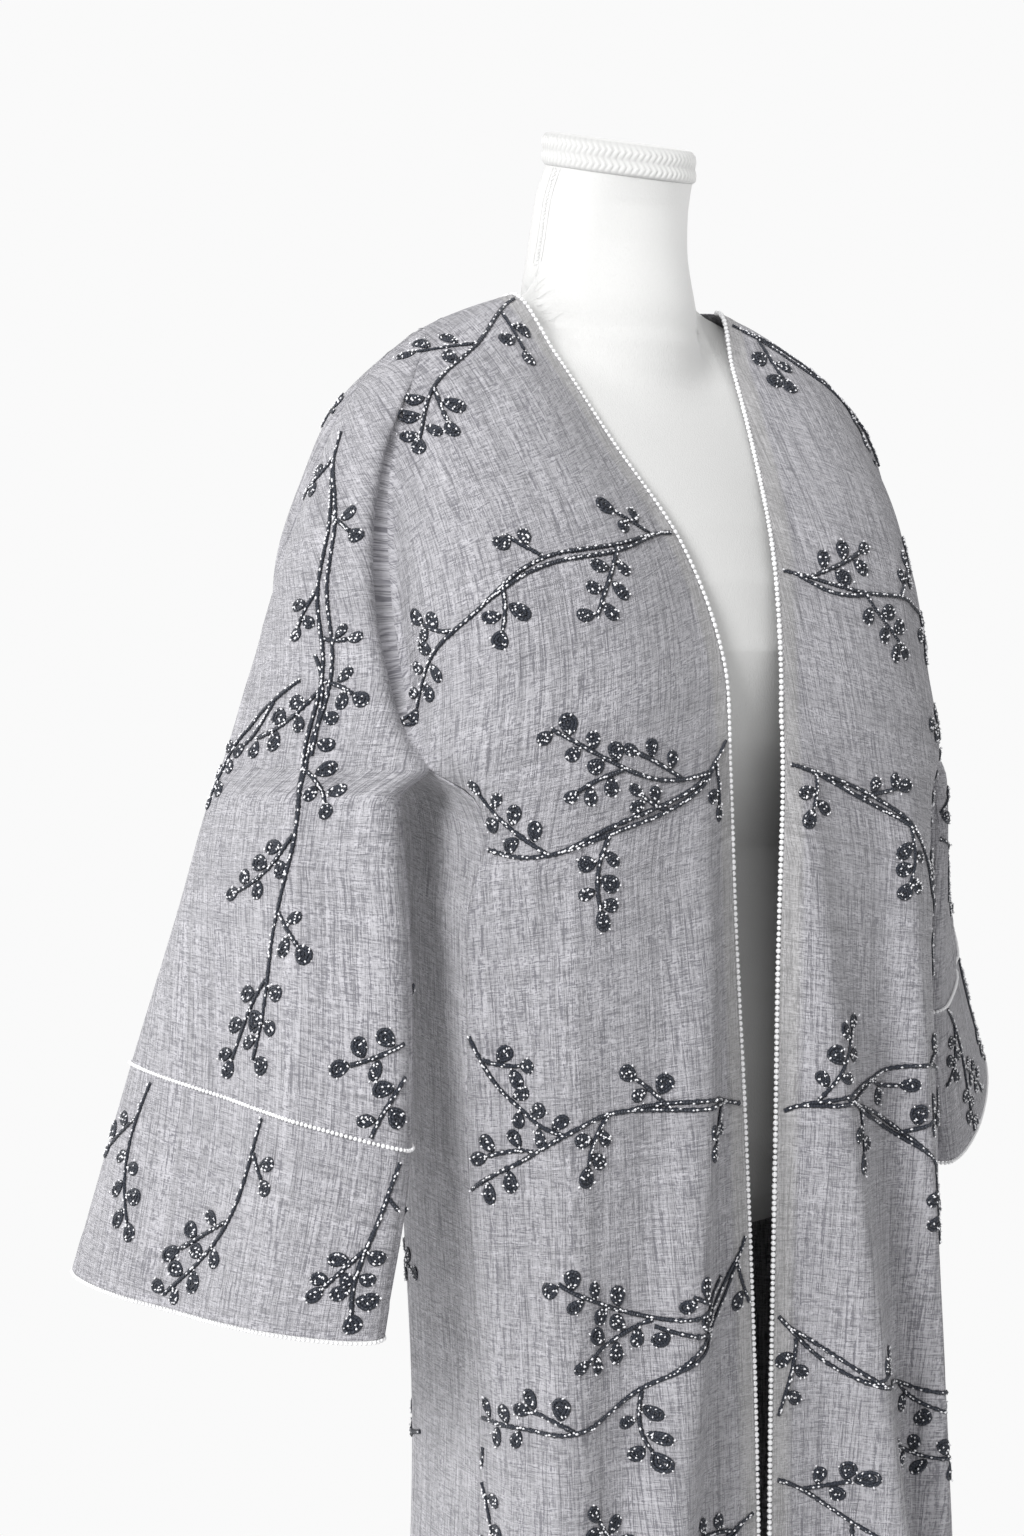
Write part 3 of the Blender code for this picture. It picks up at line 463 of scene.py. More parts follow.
def cords(lines, outward, radius, closed=False, flat=1.0):
    """Cords along lines of points, each with the direction that faces away from the surface: round
    each point stands a ring of the given radius, flattened outwards. Open cords end in a small
    face. Returns points, faces and each face corner's place round and along its cord."""
    lines, outward = np.asarray(lines, float), np.asarray(outward, float)
    count, steps = lines.shape[:2]
    if closed:
        along = np.roll(lines, -1, 1) - np.roll(lines, 1, 1)
    else:
        along = np.gradient(lines, axis=1)
    along /= np.linalg.norm(along, axis=2, keepdims=True) + 1e-12
    across = np.cross(outward, along)
    across /= np.linalg.norm(across, axis=2, keepdims=True) + 1e-12
    rise = np.cross(along, across)
    turn = np.linspace(0, 2 * math.pi, SIDES, endpoint=False)[None, None, :, None]
    radius = np.broadcast_to(np.asarray(radius, float), lines.shape[:2])[:, :, None, None]
    ring = radius * (across[:, :, None] * np.cos(turn) + flat * rise[:, :, None] * np.sin(turn))
    points = lines[:, :, None] + ring
    faces = quads(steps + 1 if closed else steps, SIDES, True)
    place = np.stack([faces % SIDES, faces // SIDES], -1).astype(float)
    last = place[..., 0].max(1, keepdims=True) == SIDES - 1
    place[..., 0] = np.where((place[..., 0] == 0) & last, SIDES, place[..., 0]) / SIDES
    faces = faces % (steps * SIDES)
    if not closed:
        ends = np.array([[3, 2, 1, 0], [0, 1, 2, 3]]) + np.array([[0], [(steps - 1) * SIDES]])
        faces = np.concatenate([faces, ends])
        place = np.concatenate([place, np.zeros((2, SIDES, 2))])
    length = np.linalg.norm(np.diff(lines, axis=1), axis=2).mean()
    place[..., 1] *= length
    faces = faces[None] + (np.arange(count) * steps * SIDES)[:, None, None]
    return points.reshape(-1, 3), faces.reshape(-1, 4), np.tile(place, (count, 1, 1)).reshape(-1, 2)


heights = np.linspace(SEAM_FOOT, NECK_TOP - 0.0010, SEAM_POINTS)
zigzag = ZIGZAG * (np.abs((np.arange(SEAM_POINTS) % 4) - 2) - 1.0)
seam_lines, seam_outward = [], []
for middle in (math.pi, 0.0):
    for aside, sway in ((-SEAM_WIDTH, 0 * zigzag), (SEAM_WIDTH, 0 * zigzag), (0.0, zigzag)):
        turn = middle + (aside + sway) / NECK_RADIUS
        line = form_surface(heights, turn[:, None])[:, 0]
        away = (line - (0.0, NECK_MIDDLE, 0.0)) * (1.0, 1.0, 0.0)
        away /= np.linalg.norm(away, axis=1, keepdims=True)
        seam_lines.append(line + away * SEAM_LIFT)
        seam_outward.append(away)
points, faces, cut = cords(seam_lines, seam_outward, SEAM_THREAD)
piece("neck_seams", points, faces, jersey, cut=cut)


# The abaya's cloth. Two fronts and a back are each cut in one with their half of a kimono sleeve,
# so a front meets the back along the ridge of shoulder and sleeve and down the side. Each row of the
# tables gives the cloth above it, measured down from the shoulder line, and where it passes.
CLOTH = 0.0009
HEM = 0.045                 # height of the hem above the floor
LENGTH = 1.440              # from the shoulder line down to the hem,
UNDERARM = 0.375            # to the underarm,
BAND_SEAM = 0.600           # to the seam of the sleeve's band
CUFF = 0.745                # and to the sleeve's hem
UNDERARM_GAP = 0.006        # at the underarm point the back's cloth lies this far behind the front's
NAPE_RISE = 0.006           # the neckline stands up so much behind the neck
NECK_CORNER = 0.015         # the turn between shoulder and neckline fades out within this
ACROSS = {"front": np.array([0.0, 0.355, 0.76, 1.0]),     # shares of the way to the side at which
          "back": np.array([-1.5, -1.0, -0.5, 0.0, 0.355, 0.76, 1.0])}      # a row passes its points
SLOPE = np.array([0.0, 0.17, 0.42, 0.62])   # how far each follows the slope of the shoulder
EDGE = table(
    "height x y",
    (1.460, 0.0990, 0.035), (1.440, 0.0925, 0.017), (1.400, 0.082, -0.016),
    (1.360, 0.0718, -0.046), (1.320, 0.0603, -0.073), (1.280, 0.048, -0.102),
    (1.240, 0.0355, -0.128), (1.200, 0.0290, -0.140), (1.160, 0.027, -0.144),
    (1.000, 0.0210, -0.148), (0.800, 0.0140, -0.156), (0.600, 0.0078, -0.160),
    (HEM, 0.0050, -0.168))
FRONT = table(
    "down height chest_x chest_y full_x full_y seam_x seam_y bulge",
    (0.000, 1.460, 0.124, 0.037, 0.153, 0.039, 0.172, 0.040, 0.000),
    (0.060, 1.410, 0.128, -0.024, 0.178, -0.018, 0.205, -0.004, 0.010),
    (0.130, 1.345, 0.130, -0.078, 0.199, -0.051, 0.230, -0.012, 0.017),
    (0.215, 1.265, 0.122, -0.126, 0.216, -0.082, 0.243, -0.026, 0.024),
    (0.300, 1.180, 0.118, -0.152, 0.220, -0.104, 0.243, -0.046, 0.029),
    (0.375, 1.105, 0.117, -0.161, 0.206, -0.128, 0.234, -0.080, 0.032),
    (0.400, 1.083, 0.117, -0.162, 0.190, -0.137, 0.211, -0.100, 0.0),
    (0.485, 1.000, 0.115, -0.165, 0.182, -0.143, 0.213, -0.092, 0.0),
    (0.645, 0.840, 0.113, -0.169, 0.180, -0.149, 0.211, -0.090, 0.0),
    (0.885, 0.600, 0.114, -0.174, 0.178, -0.155, 0.200, -0.087, 0.0),
    (1.185, 0.300, 0.118, -0.182, 0.190, -0.162, 0.215, -0.088, 0.0),
    (1.440, HEM, 0.124, -0.190, 0.205, -0.170, 0.236, -0.090, 0.0))
BACK = table(
    "down height neck_x neck_y blade_x blade_y side_x side_y seam_x seam_y bulge near_x near_y centre_y",
    (0.000, 1.460, 0.099, 0.035, 0.124, 0.037, 0.153, 0.039, 0.172, 0.040, 0.000, 0.060, 0.103, 0.120),
    (0.060, 1.410, 0.094, 0.106, 0.130, 0.103, 0.178, 0.094, 0.206, 0.082, 0.008, 0.048, 0.119, 0.122),
    (0.130, 1.345, 0.088, 0.128, 0.130, 0.126, 0.196, 0.117, 0.226, 0.101, 0.012, 0.044, 0.131, 0.131),
    (0.215, 1.265, 0.082, 0.137, 0.128, 0.136, 0.198, 0.122, 0.236, 0.088, 0.020, 0.041, 0.137, 0.136),
    (0.300, 1.180, 0.080, 0.137, 0.128, 0.134, 0.196, 0.108, 0.243, 0.026, 0.018, 0.040, 0.137, 0.135),
    (0.375, 1.105, 0.080, 0.135, 0.127, 0.128, 0.200, 0.070, 0.234, -0.080, 0.022, 0.040, 0.135, 0.134),
    (0.400, 1.083, 0.080, 0.134, 0.127, 0.125, 0.200, 0.045, 0.211, -0.100, 0.0, 0.040, 0.135, 0.133),
    (0.485, 1.000, 0.080, 0.132, 0.128, 0.120, 0.203, 0.032, 0.213, -0.092, 0.0, 0.040, 0.134, 0.133),
    (0.645, 0.840, 0.080, 0.130, 0.128, 0.116, 0.199, 0.028, 0.211, -0.090, 0.0, 0.040, 0.132, 0.131),
    (0.885, 0.600, 0.080, 0.127, 0.128, 0.110, 0.193, 0.022, 0.200, -0.087, 0.0, 0.040, 0.130, 0.130),
    (1.185, 0.300, 0.083, 0.134, 0.136, 0.117, 0.211, 0.026, 0.215, -0.088, 0.0, 0.042, 0.137, 0.138),
    (1.440, HEM, 0.088, 0.147, 0.148, 0.127, 0.236, 0.030, 0.236, -0.090, 0.0, 0.045, 0.151, 0.152))
RIDGE = {
    "right": table(
        "down x y z",
        (0.000, 0.200, 0.042, 1.412), (0.060, 0.232, 0.050, 1.370), (0.130, 0.253, 0.060, 1.312),
        (0.215, 0.273, 0.073, 1.242), (0.300, 0.292, 0.083, 1.172), (0.375, 0.310, 0.092, 1.105),
        (0.400, 0.318, 0.095, 1.082), (0.490, 0.338, 0.108, 0.998), (0.600, 0.368, 0.128, 0.881),
        (0.745, 0.409, 0.145, 0.730)),
    "left": table(
        "down x y z",
        (0.000, 0.200, 0.042, 1.412), (0.060, 0.232, 0.051, 1.370), (0.130, 0.247, 0.061, 1.312),
        (0.215, 0.258, 0.071, 1.242), (0.300, 0.275, 0.080, 1.172), (0.375, 0.303, 0.088, 1.110),
        (0.400, 0.315, 0.090, 1.092), (0.490, 0.347, 0.097, 1.038), (0.600, 0.388, 0.105, 0.962),
        (0.745, 0.450, 0.118, 0.832)),
}
TUBE = {
    "right": table(
        "down seam_x seam_y seam_z out inward lift",
        (0.375, 0.250, -0.062, 1.105, 0.032, 0.023, 0.0),
        (0.400, 0.253, -0.066, 1.086, 0.034, 0.026, 0.0),
        (0.490, 0.256, -0.084, 0.985, 0.039, 0.034, 0.006),
        (0.600, 0.271, -0.110, 0.845, 0.042, 0.036, 0.010),
        (0.745, 0.304, -0.130, 0.724, 0.043, 0.040, 0.0)),
    "left": table(
        "down seam_x seam_y seam_z out inward lift",
        (0.375, 0.244, -0.060, 1.105, 0.022, 0.030, 0.0),
        (0.400, 0.248, -0.062, 1.086, 0.020, 0.038, 0.0),
        (0.490, 0.250, -0.060, 1.000, 0.022, 0.050, 0.0),
        (0.600, 0.256, -0.052, 0.892, 0.024, 0.062, 0.0),
        (0.745, 0.272, -0.050, 0.766, 0.026, 0.070, 0.0)),
}
SPREAD = {
    "right": table(
        "down factor",
        (0.0, 1.0), (1.44, 1.0)),
    "left": table(
        "down factor",
        (0.0, 1.0), (0.13, 0.98), (0.215, 0.935),
        (0.30, 0.915), (0.375, 0.94), (0.485, 0.95),
        (0.645, 0.96), (0.885, 0.985), (1.44, 1.0)),
}


def stations(panel, side):
    """The points that every table row of a front or a back passes, from its edge or neck column to
    its fold or side seam."""
    rows = FRONT if panel == "front" else BACK
    names = ("chest", "full", "seam") if panel == "front" else ("neck", "blade", "side", "seam")
    points = [np.stack([rows[n + "_x"], rows[n + "_y"]], 1) for n in names]
    if panel == "front":
        edge = np.stack([EDGE["x"], EDGE["y"]], 1)
        points.insert(0, smooth(rows["height"], EDGE["height"][::-1], edge[::-1]))
    points = np.stack(points, 1)
    points[:, 1:, 0] *= smooth(rows["down"], SPREAD[side]["down"], SPREAD[side]["factor"])[:, None]
    drop = smooth(rows["down"], RIDGE[side]["down"], RIDGE[side]["z"]) - rows["height"]
    drop = np.where(rows["down"] <= UNDERARM, drop, 0.0)
    z = rows["height"][:, None] + drop[:, None] * SLOPE
    return np.concatenate([points, z[:, :, None]], 2)


def body_sheet(panel, side, across, downs):
    """The body part of a front or a back: a smooth curve through each row's points, with the rows
    themselves read from smooth curves that run over the shoulder from front to back. At the neck the
    back's row turns a corner, which fades out below it."""
    own, other = stations(panel, side), stations("back" if panel == "front" else "front", side)
    down = FRONT["down"]
    above = (down > 0) & (down <= UNDERARM)
    rows = smooth(downs, np.concatenate([-down[above][::-1], down]),
                  np.concatenate([other[above][::-1], own]))
    if panel == "front":
        return smooth(across, ACROSS["front"], rows.swapaxes(0, 1)).swapaxes(0, 1)
    rows[:, -1, 1] += UNDERARM_GAP * np.clip(1 - np.abs(downs - UNDERARM) / 0.03, 0, 1)
    rise = np.where(down == 0.0, NAPE_RISE, 0.0)
    near = np.stack([BACK["near_x"], BACK["near_y"], BACK["height"] + rise * 0.7], 1)
    centre = np.stack([0 * rise, BACK["centre_y"], BACK["height"] + rise], 1)
    nape = smooth(downs, down, np.stack([near * (-1.0, 1.0, 1.0), centre, near], 1))
    rows = np.concatenate([nape, rows], 1).swapaxes(0, 1)
    curve = smooth(across, ACROSS["back"], rows)
    neckline = smooth(across, ACROSS["back"][:4], rows[:4])
    shoulder = smooth(across, ACROSS["front"], rows[3:])
    corner = np.where((across <= 0)[:, None, None], neckline, shoulder)
    turned_in = np.clip(downs / NECK_CORNER, 0, 1)[None, :, None]
    return (corner + (curve - corner) * turned_in).swapaxes(0, 1)


def sleeve_starts(panel, side):
    """Where the sleeve's rows begin, along the fold beside the chest and then along the underarm
    seam, with how far each swells and lifts."""
    rows = TUBE[side]
    above = FRONT["down"] < UNDERARM
    start = np.concatenate([stations(panel, side)[above, -1],
                            np.stack([rows["seam_" + k] for k in "xyz"], 1)])
    bulge = (FRONT if panel == "front" else BACK)["bulge"][above]
    swell = np.concatenate([bulge, rows["out" if panel == "front" else "inward"]])
    lift = np.concatenate([0 * bulge, rows["lift"] * (panel == "front")])
    return np.concatenate([FRONT["down"][above], rows["down"]]), np.column_stack([start, swell, lift])


def sleeve_sheet(panel, side, across, downs):
    """Half of a sleeve, from the fold or underarm seam (0) to the ridge (1): each row is half of a
    flattened tube, with cosine steps along its chord and a sine swelling outwards. Near the fold it
    is pulled onto the edge of the body's sheet."""
    own_knots, own = sleeve_starts(panel, side)
    other_knots, other = sleeve_starts("back" if panel == "front" else "front", side)
    knots = np.concatenate([-other_knots[:0:-1], own_knots])
    starts = np.concatenate([other[:0:-1] * (1.0, 1.0, 1.0, -1.0, 1.0), own])
    values = smooth(downs, knots, starts)
    start = values[:, :3]
    chord = smooth(downs, RIDGE[side]["down"], np.stack([RIDGE[side][k] for k in "xyz"], 1)) - start
    normal = np.stack([chord[:, 1], -chord[:, 0], 0 * downs], 1)
    normal *= (1.0 if panel == "front" else -1.0) / (np.linalg.norm(normal, axis=1, keepdims=True) + 1e-9)
    swelling = normal * values[:, 3:4] + np.array([0.0, 0.0, 1.0]) * values[:, 4:5]
    t = across[None, :, None]
    grid = start[:, None] + chord[:, None] * (1 - np.cos(math.pi * t)) / 2
    grid = grid + swelling[:, None] * np.sin(math.pi * t)
    high = np.minimum(downs, UNDERARM)
    root = body_sheet(panel, side, np.array([1.0]), high)[:, 0]
    pull = root - smooth(high, knots, starts)[:, :3]
    pull = pull * np.clip(1 - (downs - UNDERARM) / 0.025, 0, 1)[:, None]
    return grid + pull[:, None] * (1 - t) ** 4


def steps_between(start, end, count, seams=True):
    """Even steps from start to end, with two narrow ones at each end where a seam sinks in."""
    even = np.linspace(start, end, count)
    if not seams:
        return even
    narrow = (end - start) * np.array([0.006, 0.016])
    return np.sort(np.concatenate([even, start + narrow, end - narrow]))


YOKE = steps_between(0.0, UNDERARM, 66)
SKIRT = steps_between(UNDERARM, LENGTH, 184)
TUBE_ROWS = steps_between(UNDERARM, BAND_SEAM, 40)
BAND_ROWS = steps_between(BAND_SEAM, CUFF, 28)
BODY_COLUMNS = steps_between(0.0, 1.0, 50)
NAPE_COLUMNS = steps_between(-1.0, 0.0, 18, False)
ARC_COLUMNS = steps_between(0.0, 1.0, 36)
BODY_ROWS = np.concatenate([YOKE, SKIRT[1:]])
SLEEVE_ROWS = np.concatenate([YOKE, TUBE_ROWS[1:]])
PARTS = (("nape", body_sheet, NAPE_COLUMNS, BODY_ROWS), ("body", body_sheet, BODY_COLUMNS, BODY_ROWS),
         ("sleeve", sleeve_sheet, ARC_COLUMNS, SLEEVE_ROWS), ("band", sleeve_sheet, ARC_COLUMNS, BAND_ROWS))
sheets = {}
for side, sign in (("right", -1.0), ("left", 1.0)):
    for panel in ("front", "back"):
        for part, make, columns, rows in PARTS:
            if part == "nape" and panel == "front":
                continue
            grid = make(panel, side, columns, rows) * (sign, 1.0, 1.0)
            across = np.concatenate([np.zeros((len(rows), 1)),
                                     np.linalg.norm(np.diff(grid, axis=1), axis=2).cumsum(1)], 1)
            if part == "body" and panel == "back":
                across = across + sheets[panel, side, "nape"]["across"][:, -1:]
            sheets[panel, side, part] = {
                "points": grid, "across": across, "columns": columns + (part in ("sleeve", "band")),
                "rows": rows, "turned": (sign > 0) != (panel == "back"), "sign": sign,
                "back": float(panel == "back")}


# The drape. The large folds are those of the part's solids. The creases over them are finer: each is
# a soft trough or ridge with its own length, width and depth, placed where the cloth is drawn or
# hangs free.

# Across is in the sheet's own steps for folds, and metres on the flat cloth for creases, which are
# counted back from the sheet's far side where top_across is below 0. The columns back and sleeve are
# 1 on a back and on a sleeve or band, and side is -1 on the right and 1 on the left.
FOLDS = table(
    "back side top_across low_across top low width depth",
    (0, -1, 0.10, 0.54, 0.34, 1.60, 0.08, 0.027), (0, -1, 0.52, 0.50, 0.42, 1.10, 0.13, -0.007),
    (0, -1, 0.78, 0.74, 0.70, 1.60, 0.11, 0.008), (0, -1, 0.48, 0.52, 1.00, 1.70, 0.12, 0.012),
    (0, 1, 0.03, 0.54, 0.34, 1.60, 0.08, 0.033), (0, 1, 0.29, 0.73, 0.34, 1.60, 0.10, -0.016),
    (0, 1, 0.48, 0.88, 0.38, 1.60, 0.07, 0.010), (0, -1, 0.72, 0.55, 0.12, 0.36, 0.16, 0.006),
    (0, 1, 0.62, 0.50, 0.12, 0.36, 0.16, 0.006), (0, -1, 1.00, 1.00, 0.06, 0.36, 0.09, -0.009),
    (0, 1, 1.00, 1.00, 0.06, 0.36, 0.09, -0.006), (1, -1, 0.30, 0.36, 0.40, 1.70, 0.13, 0.012),
    (1, -1, 0.62, 0.66, 0.50, 1.70, 0.13, -0.010), (1, 1, 0.22, 0.30, 0.35, 1.70, 0.13, 0.012),
    (1, 1, 0.56, 0.62, 0.50, 1.70, 0.13, -0.010), (1, -1, -0.45, -0.50, 0.45, 1.70, 0.30, 0.009),
    (1, 1, -0.40, -0.48, 0.45, 1.70, 0.30, 0.009))
CREASES = table(
    "back side sleeve top_across low_across top low bow width depth",
    (0, -1, 0, 0.016, 0.155, 0.36, 1.60, 0.0, 0.010, 0.0025),
    (0, -1, 0, 0.080, 0.190, 0.56, 1.60, 0.004, 0.020, -0.0040),
    (0, -1, 0, 0.100, 0.085, 0.62, 1.20, -0.006, 0.016, -0.0030),
    (0, -1, 0, 0.150, 0.165, 0.55, 1.35, 0.010, 0.014, 0.0030),
    (0, -1, 0, 0.205, 0.190, 0.46, 0.90, -0.008, 0.013, -0.0040),
    (0, -1, 0, 0.235, 0.120, 0.36, 0.56, 0.014, 0.012, -0.0030),
    (0, -1, 0, 0.225, 0.150, 0.33, 0.47, 0.016, 0.011, 0.0030),
    (0, -1, 0, 0.180, 0.090, 0.10, 0.32, 0.010, 0.016, -0.0020),
    (0, 1, 0, 0.014, 0.185, 0.36, 1.60, 0.0, 0.010, 0.0030),
    (0, 1, 0, 0.088, 0.232, 0.40, 1.60, 0.0, 0.012, -0.0035),
    (0, 1, 0, 0.130, 0.265, 0.40, 1.50, 0.0, 0.011, 0.0030),
    (0, -1, 1, 0.014, 0.016, 0.09, 0.62, 0.0, 0.011, 0.0060),
    (0, 1, 1, 0.014, 0.016, 0.09, 0.62, 0.0, 0.011, 0.0040),
    (0, -1, 0, -0.001, -0.001, 0.15, 0.37, 0.0, 0.009, -0.0055),
    (0, -1, 1, 0.001, 0.001, 0.15, 0.37, 0.0, 0.009, -0.0055),
    (0, 1, 0, -0.001, -0.001, 0.15, 0.40, 0.0, 0.010, -0.0030),
    (0, 1, 1, 0.001, 0.001, 0.15, 0.40, 0.0, 0.010, -0.0030),
    (0, -1, 0, 0.120, 0.200, 0.40, 0.66, 0.020, 0.017, -0.0050),
    (0, -1, 0, 0.060, 0.150, 0.58, 1.05, -0.016, 0.022, -0.0045),
    (0, -1, 0, 0.225, 0.185, 0.62, 1.25, 0.008, 0.018, 0.0060),
    (0, 1, 0, 0.190, 0.205, 0.40, 0.95, 0.006, 0.012, -0.0040),
    (0, 1, 0, 0.170, 0.110, 0.12, 0.34, 0.010, 0.015, -0.0022),
    (0, 1, 0, 0.220, 0.150, 0.34, 0.52, 0.012, 0.012, 0.0030),
    (0, -1, 1, 0.040, 0.060, 0.16, 0.60, 0.008, 0.012, -0.0030),
    (0, -1, 1, 0.085, 0.100, 0.30, 0.78, -0.008, 0.016, 0.0035),
    (0, -1, 1, 0.130, 0.150, 0.26, 0.66, 0.006, 0.014, -0.0030),
    (0, -1, 1, 0.150, 0.190, 0.50, 0.92, 0.0, 0.040, -0.0085),
    (0, -1, 1, 0.060, 0.080, 0.46, 0.90, 0.0, 0.030, 0.0050),
    (0, 1, 1, 0.050, 0.090, 0.20, 0.62, 0.010, 0.012, -0.0035),
    (0, 1, 1, 0.110, 0.060, 0.46, 0.60, 0.012, 0.010, 0.0045),
    (0, 1, 1, 0.120, 0.070, 0.50, 0.64, 0.012, 0.009, -0.0040),
    (1, -1, 0, 0.150, 0.160, 0.30, 1.30, 0.008, 0.016, -0.0035),
    (1, -1, 0, 0.215, 0.240, 0.42, 1.10, 0.006, 0.014, 0.0035),
    (1, 1, 0, 0.140, 0.155, 0.34, 1.40, -0.008, 0.016, -0.0035),
    (1, 1, 0, 0.225, 0.235, 0.40, 1.00, 0.008, 0.014, 0.0035),
    (1, -1, 0, 0.200, 0.120, 0.08, 0.34, 0.012, 0.016, -0.0025),
    (1, 1, 0, 0.195, 0.125, 0.10, 0.36, 0.012, 0.016, -0.0025),
    (1, -1, 1, 0.060, 0.080, 0.24, 0.66, 0.008, 0.014, -0.0030),
    (1, 1, 1, 0.070, 0.060, 0.28, 0.70, 0.008, 0.014, -0.0030),
    (1, -1, 1, 0.110, 0.130, 0.40, 0.78, -0.006, 0.012, 0.0030),
    (1, 1, 1, 0.120, 0.110, 0.38, 0.74, 0.006, 0.012, 0.0035))


def drape(sheet):
    """How far each point of a sheet stands out: over all folds and creases, the sum of a bell
    across each that swells and dies along it with the root of a sine."""
    down = np.broadcast_to(sheet["rows"][:, None], sheet["across"].shape)
    steps = np.broadcast_to(sheet["columns"][None, :], down.shape)
    sleeve = float(sheet["columns"][0] >= 1)
    total = np.zeros(down.shape)
    for lines, across in ((FOLDS, steps), (CREASES, sheet["across"])):
        for fold in (dict(zip(lines, row)) for row in np.array(list(lines.values())).T):
            if (fold["back"], fold["side"]) != (sheet["back"], sheet["sign"]):
                continue
            if fold.get("sleeve", sleeve) != sleeve:
                continue
            along = (down - fold["top"]) / (fold["low"] - fold["top"])
            middle = fold["top_across"] + (fold["low_across"] - fold["top_across"]) * along
            middle = middle + fold.get("bow", 0.0) * np.sin(math.pi * np.clip(along, 0, 1))
            far = across[:, -1:] if lines is CREASES and fold["top_across"] < 0 else 0.0
            bell = np.exp(-((across - far - middle) / fold["width"]) ** 2)
            total += fold["depth"] * bell * np.sin(math.pi * np.clip(along, 0, 1)) ** 0.7
    return total


def face_sums(points, faces):
    """Outward direction at each point: the sum of the crossed diagonals of the faces round it."""
    a, b, c, d = (points[faces[:, k]] for k in range(4))
    flat = np.cross(c - a, d - b)
    total = np.zeros_like(points)
    for k in range(4):
        np.add.at(total, faces[:, k], flat)
    return total / (np.linalg.norm(total, axis=1, keepdims=True) + 1e-12)


WELD = 0.00002              # points that share a cell of this size are one
start = 0
for sheet in sheets.values():
    shape = sheet["points"].shape[:2]
    faces = quads(*shape) + start
    sheet["faces"] = faces[:, ::-1] if sheet["turned"] else faces
    sheet["ids"] = start + np.arange(shape[0] * shape[1])
    start += shape[0] * shape[1]
everywhere = np.concatenate([s["points"].reshape(-1, 3) for s in sheets.values()])
_, first, weld = np.unique(np.floor(everywhere / WELD + 0.37).astype(int), axis=0, return_index=True,
                           return_inverse=True)
weld = weld.ravel()
welded = everywhere[first]
all_faces = weld[np.concatenate([s["faces"] for s in sheets.values()])]
outward = face_sums(welded, all_faces)
stand_out = np.concatenate([drape(s).ravel() for s in sheets.values()])
shares = np.bincount(weld)
welded = welded + outward * (np.bincount(weld, stand_out) / shares)[:, None]
outward = face_sums(welded, all_faces)
for sheet in sheets.values():
    shape = sheet["points"].shape
    sheet["points"] = welded[weld[sheet["ids"]]].reshape(shape)
    sheet["outward"] = outward[weld[sheet["ids"]]].reshape(shape)


# What is sewn: seams sink a little between their panels, the front edges carry a turned facing and
# the hems a folded one, each slightly raised. The cloth's place on its flat cut is kept in metres,
# with the weave running aslant over the chest as the cloth is drawn to the shoulder.
SEAM_SINK = 0.0009
SEAM_REACH = 0.0028
FACING = 0.014
HEM_FOLD = 0.025
FOLDED = 0.0005             # how far the doubled cloth stands out
FOLD_EDGE = 0.002
DRAWN = 0.19                # slant of the weave above DRAWN_TO, down from the shoulder line
DRAWN_TO = 0.45
TIPPED = 0.28               # slant of the weft over the chest, which dies out between these
TIPPED_TO = (0.35, 0.8)
BACK_APART = 3.0            # the back's cut lies this far from the fronts'
sink, faced = [], []
for (panel, side, part), sheet in sheets.items():
    rows, across = sheet["rows"][:, None], sheet["across"]
    total = across[:, -1:] - across
    near = [np.where(rows > UNDERARM - 0.01, total, 1.0)] if part == "body" else []
    if part != "nape" and part != "band":
        near.append(rows + 0 * across)
    if part in ("sleeve", "band"):
        near += [total, np.where(rows > UNDERARM - 0.01, across, 1.0)]
    height = -SEAM_SINK * sum(np.exp(-(d / SEAM_REACH) ** 2) for d in near) if near else 0 * across
    low = CUFF if part in ("sleeve", "band") else LENGTH
    height = height + FOLDED * np.clip((rows - (low - HEM_FOLD)) / FOLD_EDGE, 0, 1)
    facing = np.clip((FACING - across) / FOLD_EDGE, 0, 1) * (part == "body" and panel == "front")
    faced.append(facing.ravel())
    sink.append((height + FOLDED * facing).ravel())
    wide = across
    if part in ("sleeve", "band"):
        body = sheets[panel, side, "body"]
        high = np.minimum(sheet["rows"], UNDERARM)
        wide = across + np.interp(high, body["rows"], body["across"][:, -1])[:, None]
    wide = wide - DRAWN * np.minimum(rows, DRAWN_TO) + (BACK_APART if panel == "back" else 0.0)
    fading = np.clip((TIPPED_TO[1] - rows) / (TIPPED_TO[1] - TIPPED_TO[0]), 0, 1)
    long = rows - TIPPED * across * fading * (part == "body")
    sheet["cut"] = np.stack([wide + 0 * rows, long + 0 * across], -1)
sink = np.bincount(weld, np.concatenate(sink)) / shares
faced = np.bincount(weld, np.concatenate(faced)) / shares
welded = welded + outward * sink[:, None]
cut_places = np.concatenate([s["cut"].reshape(-1, 2) for s in sheets.values()])
for sheet in sheets.values():
    sheet["points"] = welded[weld[sheet["ids"]]].reshape(sheet["outward"].shape)

cloth = Finish("abaya_cloth", 0.72, sheen=0.25)
flat = cloth.cut()
warp = cloth.streaks(flat, 430.0, 34.0, 0)
weft = cloth.streaks(flat, 470.0, 105.0, 1)
threads = cloth.streaks(flat, 900.0, 240.0, 0) + cloth.streaks(flat, 900.0, 240.0, 1)
flecks = cloth.step(weft, 0.46, 0.30) + cloth.step(warp, 0.46, 0.30)
slub = (warp * 1.7 + weft * 0.9 - 1.3) * 1.6 + (threads - 1.0) * 3.0 - 0.34 * (flecks - 0.22)
shade = cloth.noise(cloth.stretched(cloth.place(), 5.0, 5.0, 5.0), 2.0)
heather = cloth.mix((0.205, 0.202, 0.226, 1.0), (0.52, 0.513, 0.545, 1.0),
                    0.61 + slub + 0.12 * (shade - 0.5))
double = cloth.node("Attribute", {"attribute_name": "facing"}, {}, "Fac")
heather = cloth.mix(heather, (0.47, 0.462, 0.44, 1.0), 0.42 * double)
